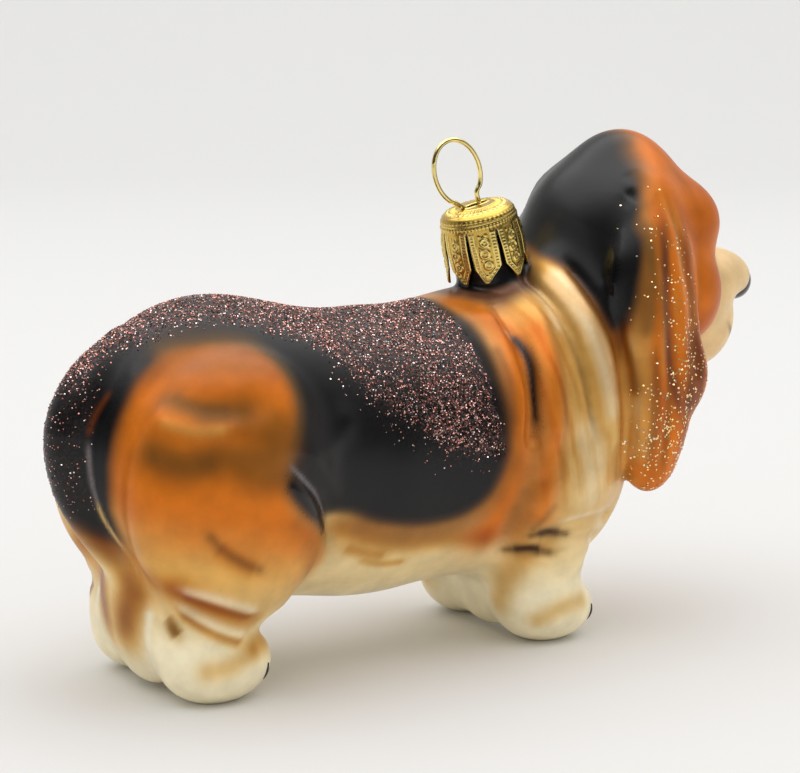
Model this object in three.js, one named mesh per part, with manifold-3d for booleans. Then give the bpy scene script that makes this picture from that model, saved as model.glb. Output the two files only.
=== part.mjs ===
// A mould-blown glass ornament in the form of a standing basset hound, with a stamped metal cap and a
// wire loop.
// Millimetres, +X to the nose, +Y to the hound's left, +Z up, standing on the floor at z = 0.
import * as THREE from "three";
import { mergeVertices } from "three/addons/utils/BufferGeometryUtils.js";
import Module from "manifold-3d";

const wasm = await Module();
wasm.setup();

// Driving dimensions
const GAP = 0.3; // between pieces that touch
const BODY_CELL = 3.1; // facet size on the trunk
const LIMB_CELL = 2.5; // facet size on the legs and the tail
const HEAD_CELL = 2.05; // facet size on the head, ears and neck
const FACET_SAG = 0.1; // how far a facet may stand out of the curved skin
const NECK_LEAN = [0.64, 0, 0.77]; // the neck's direction, square to the cuts at its two ends
const NECK_START = 46.5; // distance along the neck's direction of the cut at the shoulders
const NECK_END = 59.5; // and of the cut below the head
const MUZZLE_AT = [50.5, 0, 50];
const MUZZLE_FACES = [0.87, 0, -0.5];
const BARREL_FRONT = 3;
const BARREL_BACK = -17.5;
const ANKLE = 8.6; // height of the cut above each forepaw
const HOCK = 12.5; // and above each hind paw
const PAW_INNER = 3; // half the width of the web left between two paws
// Outlines, seen from the side, of the pieces that lie on the trunk and head, and how far off the middle
// each starts
const EAR_OUTLINE = [
  [34, 66], [30, 58], [28.7, 50], [29.6, 40], [30.6, 28], [33, 21.5],
  [37, 20], [41.5, 27], [45.3, 36], [45.2, 48], [43, 58], [39.5, 66.5],
];
const EAR_INNER = 14.3;
const EAR_SLOPE = 0.11; // the ears' inner faces lean in towards the crown
const THIGH_OVAL = { middle: [-31.1, 28.8], half: [15.3, 18.2] };
const THIGH_INNER = 9;
const FORELEG_OVAL = { middle: [19.8, 19], half: [10.4, 13.6] };
const FORELEG_INNER = 5;
const TAIL_BED = { middle: [-30.5, 31.5], half: [15.8, 17.4] }; // the outline that the tail lies on
const TAIL_HALF = 3.4; // half the tail's width
const TAIL_FRONT = -39;
const TAIL_TIP = 14.5;
const OUTLINE_STEPS = 24;
const BLOCK_REACH = 30; // half the width of a cutting block across the hound
// The boxes that hold the skin of the trunk, of the legs and tail, of the head, and of the nape below the cap
const TRUNK_BOX = [[-56, -24, -3], [46, 24, 58]];
const LIMB_BOX = [[-56, -24, -3], [34, 24, 52]];
const HEAD_BOX = [[8, -24, 14], [68, 24, 75]];
const NAPE_BOX = [[2, -12, 40], [34, 12, 66]];

// Forms of the glass, each an ellipsoid with its middle and its three half sizes. The hound is the same on
// both sides, so a middle with y above 0 stands for a pair.
const RUMP = { at: [-28.6, 0, 32.4], half: [20.1, 16, 20.2] };
const BARREL = { at: [-5, 0, 28.9], half: [30, 16, 20.4] };
const SHOULDERS = { at: [17.5, 0, 30.3], half: [19, 17.5, 20.5] };
const BREAST = { at: [27.6, 0, 25], half: [10.5, 13, 16] };
const SKULL = { at: [40.3, 0, 56.5], half: [14.6, 12, 13.3] };
const CROWN = { at: [41.2, 0, 65], half: [6.4, 7, 7] };
const BROW = { at: [49, 6, 58.5], half: [4.8, 4.6, 5] };
const CHEEK = { at: [46, 7.5, 48.5], half: [7, 6.5, 8] };
const LIPS = { at: [54.5, 0, 43.5], half: [7.1, 7.3, 8.2] };
const BRIDGE = { at: [55.5, 0, 48.9], half: [8.9, 5.8, 4.6] };
const NOSE = { at: [63.4, 0, 48.2], half: [2.6, 3.5, 3] };
const EYE = { at: [53.2, 4.9, 54.4], half: [1.7, 1.9, 1.6] };
const EAR_ROOT = { at: [38, 9, 58.5], half: [5, 3.6, 7] };
const EAR_TOP = { at: [37, 12.6, 51], half: [7.6, 4, 9] };
const EAR_MIDDLE = { at: [37.5, 14.6, 40], half: [7, 3.8, 11] };
const EAR_END = { at: [36, 14.2, 30], half: [5.4, 4.4, 9.3] };
const EAR_LOBE = { at: [41.5, 15, 37.5], half: [3.6, 3.3, 5] };
const THIGH = { at: [-31.1, 11, 28.8], half: [15.1, 9.3, 18] };
const HIND_PAW = { at: [-33.2, 9.6, 5.2], half: [7.8, 6, 5.6] };
const HIND_WEB = { at: [-37, 0, 13.4], half: [6.6, 9.5, 12.8] };
const FORE_PAW = { at: [21.3, 9.3, 4.7], half: [7.2, 6, 5] };
const FORE_WEB = { at: [18, 0, 8], half: [4, 8, 7.4] };

// Forms that run along a line, each point with its radius
const NECK = [
  { at: [24, 0, 34], r: 16.5 },
  { at: [38.5, 0, 51.5], r: 12.5 },
];
const SHIN = [
  { at: [-32, 10, 17], r: 8 },
  { at: [-36.5, 9.3, 9.5], r: 5.2 },
];
const FORE_LEG = [
  { at: [19.6, 9.5, 22], r: 9.6 },
  { at: [19, 9.3, 8], r: 6.3 },
];
const TAIL = [
  { at: [-40.6, 0, 46], r: 3.4 },
  { at: [-45.7, 0, 41.8], r: 3.7 },
  { at: [-48.5, 0, 36], r: 3.8 },
  { at: [-48, 0, 29], r: 3.4 },
  { at: [-44.9, 0, 22.5], r: 2.9 },
  { at: [-41.4, 0, 17], r: 2.2 },
];

// How wide the rounded valley is where each form joins the ones before it
const MELT = {
  trunk: 8,
  chest: 7,
  neck: 3,
  head: 4,
  crown: 4,
  face: 4,
  brow: 3,
  muzzle: 3,
  thigh: 1.6,
  leg: 3,
  forepaw: 2.5,
  foreleg: 4,
  tail: 1.5,
  ear: 2.2,
  earLength: 4,
  lobe: 2,
};

// Wrinkles: how far each stands out of the skin, or sinks into it below 0, its width, and the line that it
// follows
const WRINKLES = [
  { rise: -0.5, width: 1.6, along: [[6, 10, 45], [7.7, 14.8, 39.6], [8, 17, 31]] },
  { rise: 0.7, width: 2.6, along: [[10.5, 9, 46.5], [11.2, 15.5, 39], [10.5, 17.5, 31]] },
  { rise: -1.5, width: 1.3, along: [[14, 7, 49], [13.8, 13, 44], [13.5, 16.5, 36.5], [12.3, 17.5, 30]] },
  { rise: 1, width: 2, along: [[17.5, 4, 51.5], [18.2, 10, 48], [17.2, 15.5, 40.5], [16.5, 17.5, 33]] },
  { rise: -0.7, width: 1, along: [[20.5, 3, 52.5], [22, 11, 47.5], [22.8, 15.5, 40.5], [24, 17.5, 31]] },
  { rise: 0.8, width: 2.6, along: [[24, 6, 53.5], [25.5, 13, 46.5], [27, 16, 39], [27.5, 17, 30]] },
  {
    rise: -1,
    width: 1.2,
    along: [[25.5, 6, 54.5], [27.5, 12, 49], [29.8, 15, 42], [30.6, 16.5, 34], [31, 15.5, 27]],
  },
  { rise: -0.9, width: 1.6, along: [[12.5, 17.5, 25.5], [10.8, 16.2, 20.7], [10.6, 13.5, 15]] },
  { rise: -1, width: 1.2, along: [[32, 8, 17], [28, 15, 17.5], [21, 18, 18.5], [14, 16.6, 16.8]] },
  { rise: -0.7, width: 1, along: [[29, 9, 14.6], [25, 15.5, 15.2], [19, 17.5, 15.8], [11.6, 13.7, 14.2]] },
  { rise: -0.9, width: 1.6, along: [[-25.7, 19.4, 32], [-21.5, 18, 28], [-18, 13.8, 21.8]] },
  { rise: 0.7, width: 1, along: [[-40.5, 14.5, 17.5], [-36.5, 17, 15.8], [-31, 17.5, 13.5]] },
  { rise: 0.7, width: 1, along: [[-40.3, 13, 15], [-36.4, 15.5, 12], [-31.8, 15, 9.8]] },
  { rise: -0.5, width: 2, along: [[-38.6, 18.5, 24.9], [-33.8, 19.2, 21], [-29.5, 19, 19]] },
  { rise: -0.5, width: 1.2, along: [[39.5, 12, 62], [41, 16, 52], [41, 17.5, 42], [41.3, 18, 37]] },
  { rise: -0.5, width: 1.2, along: [[36, 13, 58], [37, 17, 48], [36.2, 18, 37], [35.5, 18, 27]] },
  { rise: -0.8, width: 1.4, along: [[64, 0, 45.2], [60.5, 5.5, 45.4], [57, 7.5, 43], [53, 8, 38.5]] },
];
const WRINKLE_STEPS = 8;
const WRINKLE_REACH = 3; // widths from its line where a wrinkle ends

// Cap, loop and the glass stem under them
const CAP_LEAN = 15; // degrees back from upright
const CAP_TOP = [15.2, 0, 61.9]; // middle of the cap's top face
const CAP_TOP_R = 5.3;
const CAP_SKIRT_R = 5.9;
const CAP_WALL = 0.55;
const CAP_FLARE = 3.4; // how far below its top the cap is widest
const CAP_BAND = 2.1; // height of the band above the tines
const CAP_HEIGHT = 9.8;
const CAP_TURN = -10.5; // degrees about its axis, to the first space between two tines
const CAP_DOME = 0.5; // rise of the top's middle over its edge
const CAP_EDGE = 0.7; // height of the rounded edge round the top
const CAP_CURL = 0.1; // how far the tines turn in
const TINES = 8;
const TINE_SLIT = 0.9;
const TINE_POINT = 2.4; // length of each pointed end
const TINE_START = 2; // how far off the cap's axis the space between two tines starts
const CAP_SEGMENTS = 32;
const SLOT = [4.8, 1.5, 4]; // the opening for the wire in the cap's top
const PIKE_TOP_R = 4.3;
const PIKE_R = 4.9;
const PIKE_BELOW_TOP = 3.8;
const PIKE_ROOT = 14; // how far below the cap's top the stem's axis ends, inside the neck
const PIKE_TAPER = 2; // length of its narrowing end
const PIKE_SEGMENTS = 24;
const LOOP_HALF = [3.6, 4.8]; // half the ring's width and height, to the middle of the wire
const LOOP_OFF = -0.8; // how far the ring's middle is off the middle of its legs
const WIRE_R = 0.4;
const LOOP_LEAN = 24; // degrees back from upright
const LOOP_TURN = -5; // degrees about the upright
const LOOP_LEGS = 0.8; // half the space between the wire's two legs
const LOOP_LEG_LENGTH = 2.6;
const LOOP_OPENING = 28; // degrees from the loop's lowest point to where the wire turns down to the cap
const LOOP_RISE = 1.3; // of the ring above the cap's top
const LOOP_BENDS = 14; // points that set the ring's curve
const LOOP_STEPS = 48;
const WIRE_SEGMENTS = 4;

// A distance to each kind of form: below 0 inside it, above 0 outside it
const ellipsoid = ({ at, half }) => (x, y, z) => {
  const dx = (x - at[0]) / half[0];
  const dy = (y - at[1]) / half[1];
  const dz = (z - at[2]) / half[2];
  const near = Math.hypot(dx, dy, dz);
  return (near * (near - 1)) / Math.max(Math.hypot(dx / half[0], dy / half[1], dz / half[2]), 1e-6);
};

const along = (x, y, z, a, b) => {
  const run = [b[0] - a[0], b[1] - a[1], b[2] - a[2]];
  const dot = (x - a[0]) * run[0] + (y - a[1]) * run[1] + (z - a[2]) * run[2];
  const t = Math.min(Math.max(dot / (run[0] ** 2 + run[1] ** 2 + run[2] ** 2), 0), 1);
  const away = Math.hypot(x - a[0] - t * run[0], y - a[1] - t * run[1], z - a[2] - t * run[2]);
  return [t, away];
};

const limb = (points) => (x, y, z) => {
  let nearest = Infinity;
  for (let i = 1; i < points.length; i++) {
    const [a, b] = [points[i - 1], points[i]];
    const [t, away] = along(x, y, z, a.at, b.at);
    nearest = Math.min(nearest, away - a.r - t * (b.r - a.r));
  }
  return nearest;
};

// Joins distances with a rounded valley of the given width between the forms
const melt = (width, ...forms) => (x, y, z) => {
  let whole = forms[0](x, y, z);
  for (const form of forms.slice(1)) {
    const other = form(x, y, z);
    const near = Math.max(width - Math.abs(whole - other), 0) / width;
    whole = Math.min(whole, other) - (near * near * width) / 4;
  }
  return whole;
};

const paired = (form) => (x, y, z) => form(x, Math.abs(y), z);

const wrinkleLines = WRINKLES.map(({ rise, width, along: points }) => ({
  rise,
  width,
  line: new THREE.CatmullRomCurve3(points.map((p) => new THREE.Vector3(...p)))
    .getPoints(WRINKLE_STEPS)
    .map((p) => p.toArray()),
}));

function wrinkled(x, y, z) {
  let out = 0;
  for (const { rise, width, line } of wrinkleLines) {
    let nearest = Infinity;
    for (let i = 1; i < line.length; i++)
      nearest = Math.min(nearest, along(x, y, z, line[i - 1], line[i])[1]);
    if (nearest < WRINKLE_REACH * width) out += rise * Math.exp(-((nearest / width) ** 2));
  }
  return out;
}

// Joins forms to a first one, in order
const joined = (first, steps) => steps.reduce((whole, [width, form]) => melt(width, whole, form), first);

const chest = melt(MELT.chest, ellipsoid(SHOULDERS), ellipsoid(BREAST));
const body = melt(MELT.trunk, ellipsoid(RUMP), ellipsoid(BARREL), chest);
const skull = melt(
  MELT.face,
  melt(MELT.crown, ellipsoid(SKULL), ellipsoid(CROWN)),
  melt(MELT.brow, paired(ellipsoid(BROW)), paired(ellipsoid(CHEEK))),
);
const muzzleForm = melt(MELT.muzzle, ellipsoid(LIPS), ellipsoid(BRIDGE));
const earLength = [EAR_ROOT, EAR_TOP, EAR_MIDDLE, EAR_END].map(ellipsoid);
const earForm = paired(melt(MELT.lobe, melt(MELT.earLength, ...earLength), ellipsoid(EAR_LOBE)));
const hindLeg = melt(MELT.leg, limb(SHIN), ellipsoid(HIND_PAW));
const foreLeg = melt(MELT.forepaw, limb(FORE_LEG), ellipsoid(FORE_PAW));

const earless = joined(body, [
  [MELT.neck, limb(NECK)],
  [MELT.head, skull],
  [MELT.muzzle, muzzleForm],
  [MELT.thigh, paired(ellipsoid(THIGH))],
  [MELT.leg, melt(MELT.leg, paired(hindLeg), ellipsoid(HIND_WEB))],
  [MELT.foreleg, melt(MELT.leg, paired(foreLeg), ellipsoid(FORE_WEB))],
  [MELT.tail, limb(TAIL)],
]);
const eared = melt(MELT.ear, earless, earForm);
const hound = (x, y, z) => eared(x, y, z) - wrinkled(x, Math.abs(y), z);
const earlessHound = (x, y, z) => earless(x, y, z) - wrinkled(x, Math.abs(y), z);

// A geometry with its doubled corners joined, as a solid
function solidOf(geometry) {
  geometry.deleteAttribute("normal");
  geometry.deleteAttribute("uv");
  const merged = mergeVertices(geometry, 1e-4);
  return new wasm.Manifold(
    new wasm.Mesh({
      numProp: 3,
      vertProperties: Float32Array.from(merged.attributes.position.array),
      triVerts: Uint32Array.from(merged.index.array),
    }),
  );
}

// Turns the zero surface of a distance, inside a box, into a closed solid with one corner in each cell that
// it crosses
function cast(distance, cell, [low, high]) {
  // The cells mirror on the hound's middle
  const start = [low[0], Math.floor(low[1] / cell) * cell, low[2]];
  const count = start.map((v, i) => Math.ceil((high[i] - v) / cell) + 3);
  const place = (axis, i) => start[axis] + (i - 1) * cell;
  const id = (i, j, k) => (i * count[1] + j) * count[2] + k;
  const value = new Float64Array(count[0] * count[1] * count[2]).fill(cell);
  for (let i = 1; i < count[0] - 1; i++)
    for (let j = 1; j < count[1] - 1; j++)
      for (let k = 1; k < count[2] - 1; k++)
        value[id(i, j, k)] = distance(place(0, i), place(1, j), place(2, k));
  const corner = new Map();
  const positions = [];
  const offsets = [0, 1, 2, 3, 4, 5, 6, 7].map((n) => [n & 1, (n >> 1) & 1, n >> 2]);
  const edges = offsets.flatMap((a, n) => [1, 2, 4].filter((s) => !(n & s)).map((s) => [n, n | s]));
  for (let i = 0; i < count[0] - 1; i++)
    for (let j = 0; j < count[1] - 1; j++)
      for (let k = 0; k < count[2] - 1; k++) {
        const v = offsets.map(([a, b, c]) => value[id(i + a, j + b, k + c)]);
        const sum = [0, 0, 0];
        let crossings = 0;
        for (const [a, b] of edges) {
          if (v[a] < 0 === v[b] < 0) continue;
          const t = v[a] / (v[a] - v[b]);
          for (let axis = 0; axis < 3; axis++)
            sum[axis] += offsets[a][axis] + t * (offsets[b][axis] - offsets[a][axis]);
          crossings++;
        }
        if (!crossings) continue;
        corner.set(id(i, j, k), positions.length / 3);
        [i, j, k].forEach((n, axis) =>
          positions.push(place(axis, n) + (sum[axis] / crossings) * cell),
        );
      }
  const triangles = [];
  const facets = (a, b, c, d, flip) => {
    const q = [a, b, c, d].map((n) => corner.get(n));
    if (flip) q.reverse();
    const at = (n) => new THREE.Vector3().fromArray(positions, 3 * n);
    const split = at(q[0]).distanceTo(at(q[2])) < at(q[1]).distanceTo(at(q[3]));
    const corners = split ? [0, 1, 2, 0, 2, 3] : [0, 1, 3, 1, 2, 3];
    triangles.push(...corners.map((n) => q[n]));
  };
  for (let i = 0; i < count[0] - 1; i++)
    for (let j = 0; j < count[1] - 1; j++)
      for (let k = 0; k < count[2] - 1; k++) {
        const inside = value[id(i, j, k)] < 0;
        if (inside !== value[id(i + 1, j, k)] < 0)
          facets(id(i, j - 1, k - 1), id(i, j, k - 1), id(i, j, k), id(i, j - 1, k), !inside);
        if (inside !== value[id(i, j + 1, k)] < 0)
          facets(id(i - 1, j, k - 1), id(i - 1, j, k), id(i, j, k), id(i, j, k - 1), !inside);
        if (inside !== value[id(i, j, k + 1)] < 0)
          facets(id(i - 1, j - 1, k), id(i, j - 1, k), id(i, j, k), id(i - 1, j, k), !inside);
      }
  const geometry = new THREE.BufferGeometry();
  geometry.setAttribute("position", new THREE.Float32BufferAttribute(positions, 3));
  geometry.setIndex(triangles);
  return solidOf(geometry);
}

// Cutting solids
const WIDE = 400; // a block wider than the hound
const NOSE_DETAIL = 10; // rings of facets from pole to pole
const EYE_DETAIL = 6;

// The space on the far side of a plane with the given normal, below it and between two
function beyond(normal, distance) {
  const block = new THREE.BoxGeometry(WIDE, WIDE, WIDE).translate(0, 0, WIDE / 2);
  const up = new THREE.Vector3(0, 0, 1);
  const facing = new THREE.Vector3(...normal).normalize();
  block.applyQuaternion(new THREE.Quaternion().setFromUnitVectors(up, facing));
  const reach = distance / Math.hypot(...normal);
  return solidOf(block.translate(...facing.multiplyScalar(reach).toArray()));
}

const below = (normal, distance) => beyond(normal.map((n) => -n), -distance);
const slab = (normal, from, to) => beyond(normal, from).intersect(below(normal, to));

function ball({ at, half }, detail, grown = 0) {
  const sphere = new THREE.SphereGeometry(1, 2 * detail, detail);
  return solidOf(sphere.scale(...half.map((h) => h + grown)).translate(...at));
}

const mirrored = ({ at, half }) => ({ at: [at[0], -at[1], at[2]], half });

function largest(solid) {
  return solid.decompose().reduce((a, b) => (b.volume() > a.volume() ? b : a));
}

// A block with the given outline seen from the side, on both sides of the hound
function sideBlock(outline, grown = 0) {
  const corners = outline.map(([x, z]) => new THREE.Vector3(x, z, 0));
  const curve = new THREE.CatmullRomCurve3(corners, true);
  const points = [];
  for (let i = 0; i < OUTLINE_STEPS; i++) {
    const at = curve.getPoint(i / OUTLINE_STEPS);
    const run = curve.getTangent(i / OUTLINE_STEPS);
    points.push(new THREE.Vector2(at.x + run.y * grown, at.y - run.x * grown));
  }
  const options = { depth: 2 * BLOCK_REACH, bevelEnabled: false };
  const block = new THREE.ExtrudeGeometry(new THREE.Shape(points), options);
  return solidOf(block.translate(0, 0, -BLOCK_REACH).rotateX(Math.PI / 2));
}

function oval({ middle, half }) {
  const points = [];
  for (let i = 0; i < OUTLINE_STEPS; i++) {
    const turn = (i / OUTLINE_STEPS) * 2 * Math.PI;
    points.push([middle[0] + half[0] * Math.cos(turn), middle[1] + half[1] * Math.sin(turn)]);
  }
  return points;
}

// The two sides of the hound from a distance off its middle outwards, as one solid
const bothSides = (from, slope = 0) => beyond([0, 1, slope], from).add(beyond([0, -1, slope], from));

// The hound's skin at three facet sizes, each in the space that its pieces are cut from
const floorUp = beyond([0, 0, 1], 0);
const trunkSkin = cast(earlessHound, BODY_CELL, TRUNK_BOX).intersect(floorUp);
const limbSkin = cast(earlessHound, LIMB_CELL, LIMB_BOX).intersect(floorUp);
const headSkin = cast(hound, HEAD_CELL, HEAD_BOX);

// The spaces of the ears, thighs, legs, paws and tail, each with the gap round it when it is grown
const earRegion = (grown) =>
  sideBlock(EAR_OUTLINE, grown).intersect(bothSides(EAR_INNER - grown, EAR_SLOPE));
const thighRegion = (grown) =>
  sideBlock(oval(THIGH_OVAL), grown)
    .intersect(bothSides(THIGH_INNER - grown))
    .intersect(beyond([0, 0, 1], HOCK + GAP - grown));
const forelegRegion = (grown) =>
  sideBlock(oval(FORELEG_OVAL), grown)
    .intersect(bothSides(FORELEG_INNER - grown))
    .intersect(beyond([0, 0, 1], ANKLE + GAP - grown));
const pawRegion = (height, grown) =>
  bothSides(PAW_INNER - grown).intersect(below([0, 0, 1], height + grown));
const tailRegion = (grown) =>
  slab([0, 1, 0], -TAIL_HALF - grown, TAIL_HALF + grown)
    .intersect(below([1, 0, 0], TAIL_FRONT + grown))
    .intersect(beyond([0, 0, 1], TAIL_TIP - grown))
    .subtract(sideBlock(oval(TAIL_BED), -grown));

const behind = below([1, 0, 0], BARREL_BACK);
const middle = slab([1, 0, 0], BARREL_BACK + GAP, BARREL_FRONT);
const ahead = beyond([1, 0, 0], BARREL_FRONT + GAP);
const left = beyond([0, 1, 0], 0);
const right = below([0, 1, 0], 0);
const muzzleCut = MUZZLE_FACES.reduce((sum, n, i) => sum + n * MUZZLE_AT[i], 0);
const headUp = beyond(NECK_LEAN, NECK_END + GAP);

const trunk = trunkSkin.intersect(below(NECK_LEAN, NECK_START)).subtract(earRegion(GAP));
const ears = headSkin.intersect(earRegion(0));
const thighs = limbSkin.intersect(thighRegion(0));
const forelegs = limbSkin.intersect(forelegRegion(0));
const hindPaws = limbSkin.intersect(pawRegion(HOCK, 0)).intersect(behind);
const forePaws = limbSkin.intersect(pawRegion(ANKLE, 0)).intersect(ahead);

const eyes = { left_eye: EYE, right_eye: mirrored(EYE) };
const face = Object.values(eyes).reduce(
  (solid, eye) => solid.subtract(ball(eye, EYE_DETAIL, GAP)),
  headSkin.intersect(headUp).subtract(earRegion(GAP)),
);
const solids = {
  head: face.intersect(below(MUZZLE_FACES, muzzleCut)),
  muzzle: face
    .intersect(beyond(MUZZLE_FACES, muzzleCut + GAP))
    .subtract(ball(NOSE, NOSE_DETAIL, GAP)),
  nose: ball(NOSE, NOSE_DETAIL),
  left_eye: ball(eyes.left_eye, EYE_DETAIL),
  right_eye: ball(eyes.right_eye, EYE_DETAIL),
  left_ear: ears.intersect(left),
  right_ear: ears.intersect(right),
  neck: headSkin.intersect(slab(NECK_LEAN, NECK_START + GAP, NECK_END)).subtract(earRegion(GAP)),
  shoulders: trunk
    .intersect(ahead)
    .subtract(forelegRegion(GAP))
    .subtract(pawRegion(ANKLE, GAP)),
  barrel: trunk.intersect(middle).subtract(thighRegion(GAP)),
  rump: trunk
    .intersect(behind)
    .subtract(thighRegion(GAP))
    .subtract(pawRegion(HOCK, GAP))
    .subtract(tailRegion(GAP)),
  tail: limbSkin.intersect(tailRegion(0)),
  left_foreleg: forelegs.intersect(left),
  right_foreleg: forelegs.intersect(right),
  left_forepaw: forePaws.intersect(left),
  right_forepaw: forePaws.intersect(right),
  left_thigh: thighs.intersect(left),
  right_thigh: thighs.intersect(right),
  left_hind_paw: hindPaws.intersect(left),
  right_hind_paw: hindPaws.intersect(right),
};

// The stem, the cap and the wire loop, each made upright about the cap's top and then leaned back
const leaned = (solid, lean, turn = 0) => {
  const pose = new THREE.Matrix4().makeTranslation(...CAP_TOP);
  pose.multiply(new THREE.Matrix4().makeRotationY(THREE.MathUtils.degToRad(-lean)));
  pose.multiply(new THREE.Matrix4().makeRotationZ(THREE.MathUtils.degToRad(turn)));
  return solidOf(solid.applyMatrix4(pose));
};

function turned(points, segments) {
  const profile = points.map(([r, z]) => new THREE.Vector2(r, z));
  return new THREE.LatheGeometry(profile, segments).rotateX(Math.PI / 2);
}

function pike() {
  const top = -PIKE_BELOW_TOP;
  const profile = [
    [0, -PIKE_ROOT],
    [PIKE_R, -PIKE_ROOT],
    [PIKE_R, top - PIKE_TAPER],
    [PIKE_TOP_R, top],
    [0, top],
  ];
  return leaned(turned(profile, PIKE_SEGMENTS), CAP_LEAN);
}

function capShell() {
  const outside = [
    [CAP_SKIRT_R - CAP_CURL, -CAP_HEIGHT],
    [CAP_SKIRT_R, -CAP_FLARE],
    [CAP_TOP_R, -CAP_EDGE],
    [CAP_TOP_R - CAP_EDGE, 0],
    [CAP_TOP_R - 3 * CAP_EDGE, CAP_DOME],
  ];
  const inside = outside.map(([r, z]) => [r - CAP_WALL, z < -CAP_EDGE ? z : z - CAP_WALL]).reverse();
  const profile = [[0, CAP_DOME - CAP_WALL], ...inside, ...outside, [0, CAP_DOME]];
  return leaned(turned(profile, CAP_SEGMENTS), CAP_LEAN);
}

// The space between two tines: a slit that widens to the points
function tineSpace(turn) {
  const half = [
    [TINE_SLIT / 2, -CAP_BAND],
    [TINE_SLIT, TINE_POINT - CAP_HEIGHT],
    [(Math.PI * CAP_SKIRT_R) / TINES, -CAP_HEIGHT - GAP],
  ];
  const outline = [...half, ...half.map(([x, y]) => [-x, y]).reverse()];
  const shape = new THREE.Shape(outline.map(([x, y]) => new THREE.Vector2(x, y)));
  const wedge = new THREE.ExtrudeGeometry(shape, { depth: CAP_SKIRT_R, bevelEnabled: false });
  wedge.rotateX(Math.PI / 2).translate(0, -TINE_START, 0);
  return leaned(wedge.rotateZ(turn), CAP_LEAN, CAP_TURN);
}

function cap() {
  let solid = capShell();
  for (let i = 0; i < TINES; i++) solid = solid.subtract(tineSpace((i * 2 * Math.PI) / TINES));
  const slot = new THREE.BoxGeometry(...SLOT);
  return solid.subtract(leaned(slot, LOOP_LEAN, LOOP_TURN));
}

function hangerLoop() {
  const opening = THREE.MathUtils.degToRad(LOOP_OPENING);
  const [across, up] = LOOP_HALF;
  const points = [];
  const legs = [-LOOP_LEG_LENGTH, -LOOP_LEG_LENGTH / 2, -LOOP_RISE / 2];
  for (const z of legs) points.push(new THREE.Vector3(-LOOP_LEGS, 0, z));
  for (let i = 0; i <= LOOP_BENDS; i++) {
    const angle = opening + (i / LOOP_BENDS) * 2 * (Math.PI - opening);
    const height = LOOP_RISE + up - up * Math.cos(angle);
    points.push(new THREE.Vector3(LOOP_OFF - across * Math.sin(angle), 0, height));
  }
  for (const z of legs.reverse()) points.push(new THREE.Vector3(LOOP_LEGS, 0, z));
  const wire = new THREE.Shape().absarc(0, 0, WIRE_R, 0, 2 * Math.PI);
  const tube = new THREE.ExtrudeGeometry(wire, {
    steps: LOOP_STEPS,
    curveSegments: WIRE_SEGMENTS,
    extrudePath: new THREE.CatmullRomCurve3(points, false, "centripetal"),
  });
  return leaned(tube, LOOP_LEAN, LOOP_TURN);
}

const clearOf = (x, y, z) => hound(x, y, z) - GAP - FACET_SAG;
const clearOfHound = cast(clearOf, HEAD_CELL, NAPE_BOX);
solids.pike = pike().subtract(clearOfHound);
solids.cap = cap().subtract(clearOfHound);
solids.hanger_loop = hangerLoop();

// Colours and finishes
const lacquer = (color) => ({ color, roughness: 0.38, metalness: 0.25 });
const brass = { color: 0xc9a548, roughness: 0.3, metalness: 1 };
const finishes = {
  head: lacquer(0x3c3328),
  muzzle: lacquer(0xe6dcc0),
  nose: { color: 0x15120f, roughness: 0.25, metalness: 0.1 },
  left_eye: { color: 0x2a1a0e, roughness: 0.12, metalness: 0 },
  left_ear: lacquer(0xa2581c),
  neck: lacquer(0xc9a566),
  shoulders: lacquer(0xb8732c),
  barrel: lacquer(0x2a2624),
  rump: lacquer(0x2a2624),
  tail: lacquer(0x1f1c1c),
  left_foreleg: lacquer(0xe0d3b0),
  left_forepaw: lacquer(0xe6dcc0),
  left_thigh: lacquer(0xc4741f),
  left_hind_paw: lacquer(0xe6dcc0),
  pike: lacquer(0x15120f),
  cap: brass,
  hanger_loop: brass,
};

const ornament = new THREE.Group();
const pieces = new THREE.Group();
for (const [name, solid] of Object.entries(solids)) {
  const { vertProperties, triVerts } = largest(solid).getMesh();
  const geometry = new THREE.BufferGeometry();
  geometry.setAttribute("position", new THREE.BufferAttribute(vertProperties, 3));
  geometry.setIndex(new THREE.BufferAttribute(triVerts, 1));
  geometry.computeVertexNormals();
  const finish = finishes[name] ?? finishes[name.replace("right", "left")];
  const mesh = new THREE.Mesh(geometry, new THREE.MeshStandardMaterial(finish));
  mesh.name = name;
  pieces.add(mesh);
}

// The part's origin is on the floor, below the middle of its length
const outline = new THREE.Box3().setFromObject(pieces);
pieces.position.x = -(outline.min.x + outline.max.x) / 2;
ornament.add(pieces);
export default ornament;
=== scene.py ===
# A mould-blown glass ornament in the form of a standing basset hound, silvered inside and painted by hand
# with satin lacquers, glitter on its saddle and ears, a stamped gilt cap and a wire loop.
# The hound's forms are given in millimetres in its own frame, as in the part's source, and go into the
# part's frame with one shift along X.
import math

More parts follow.
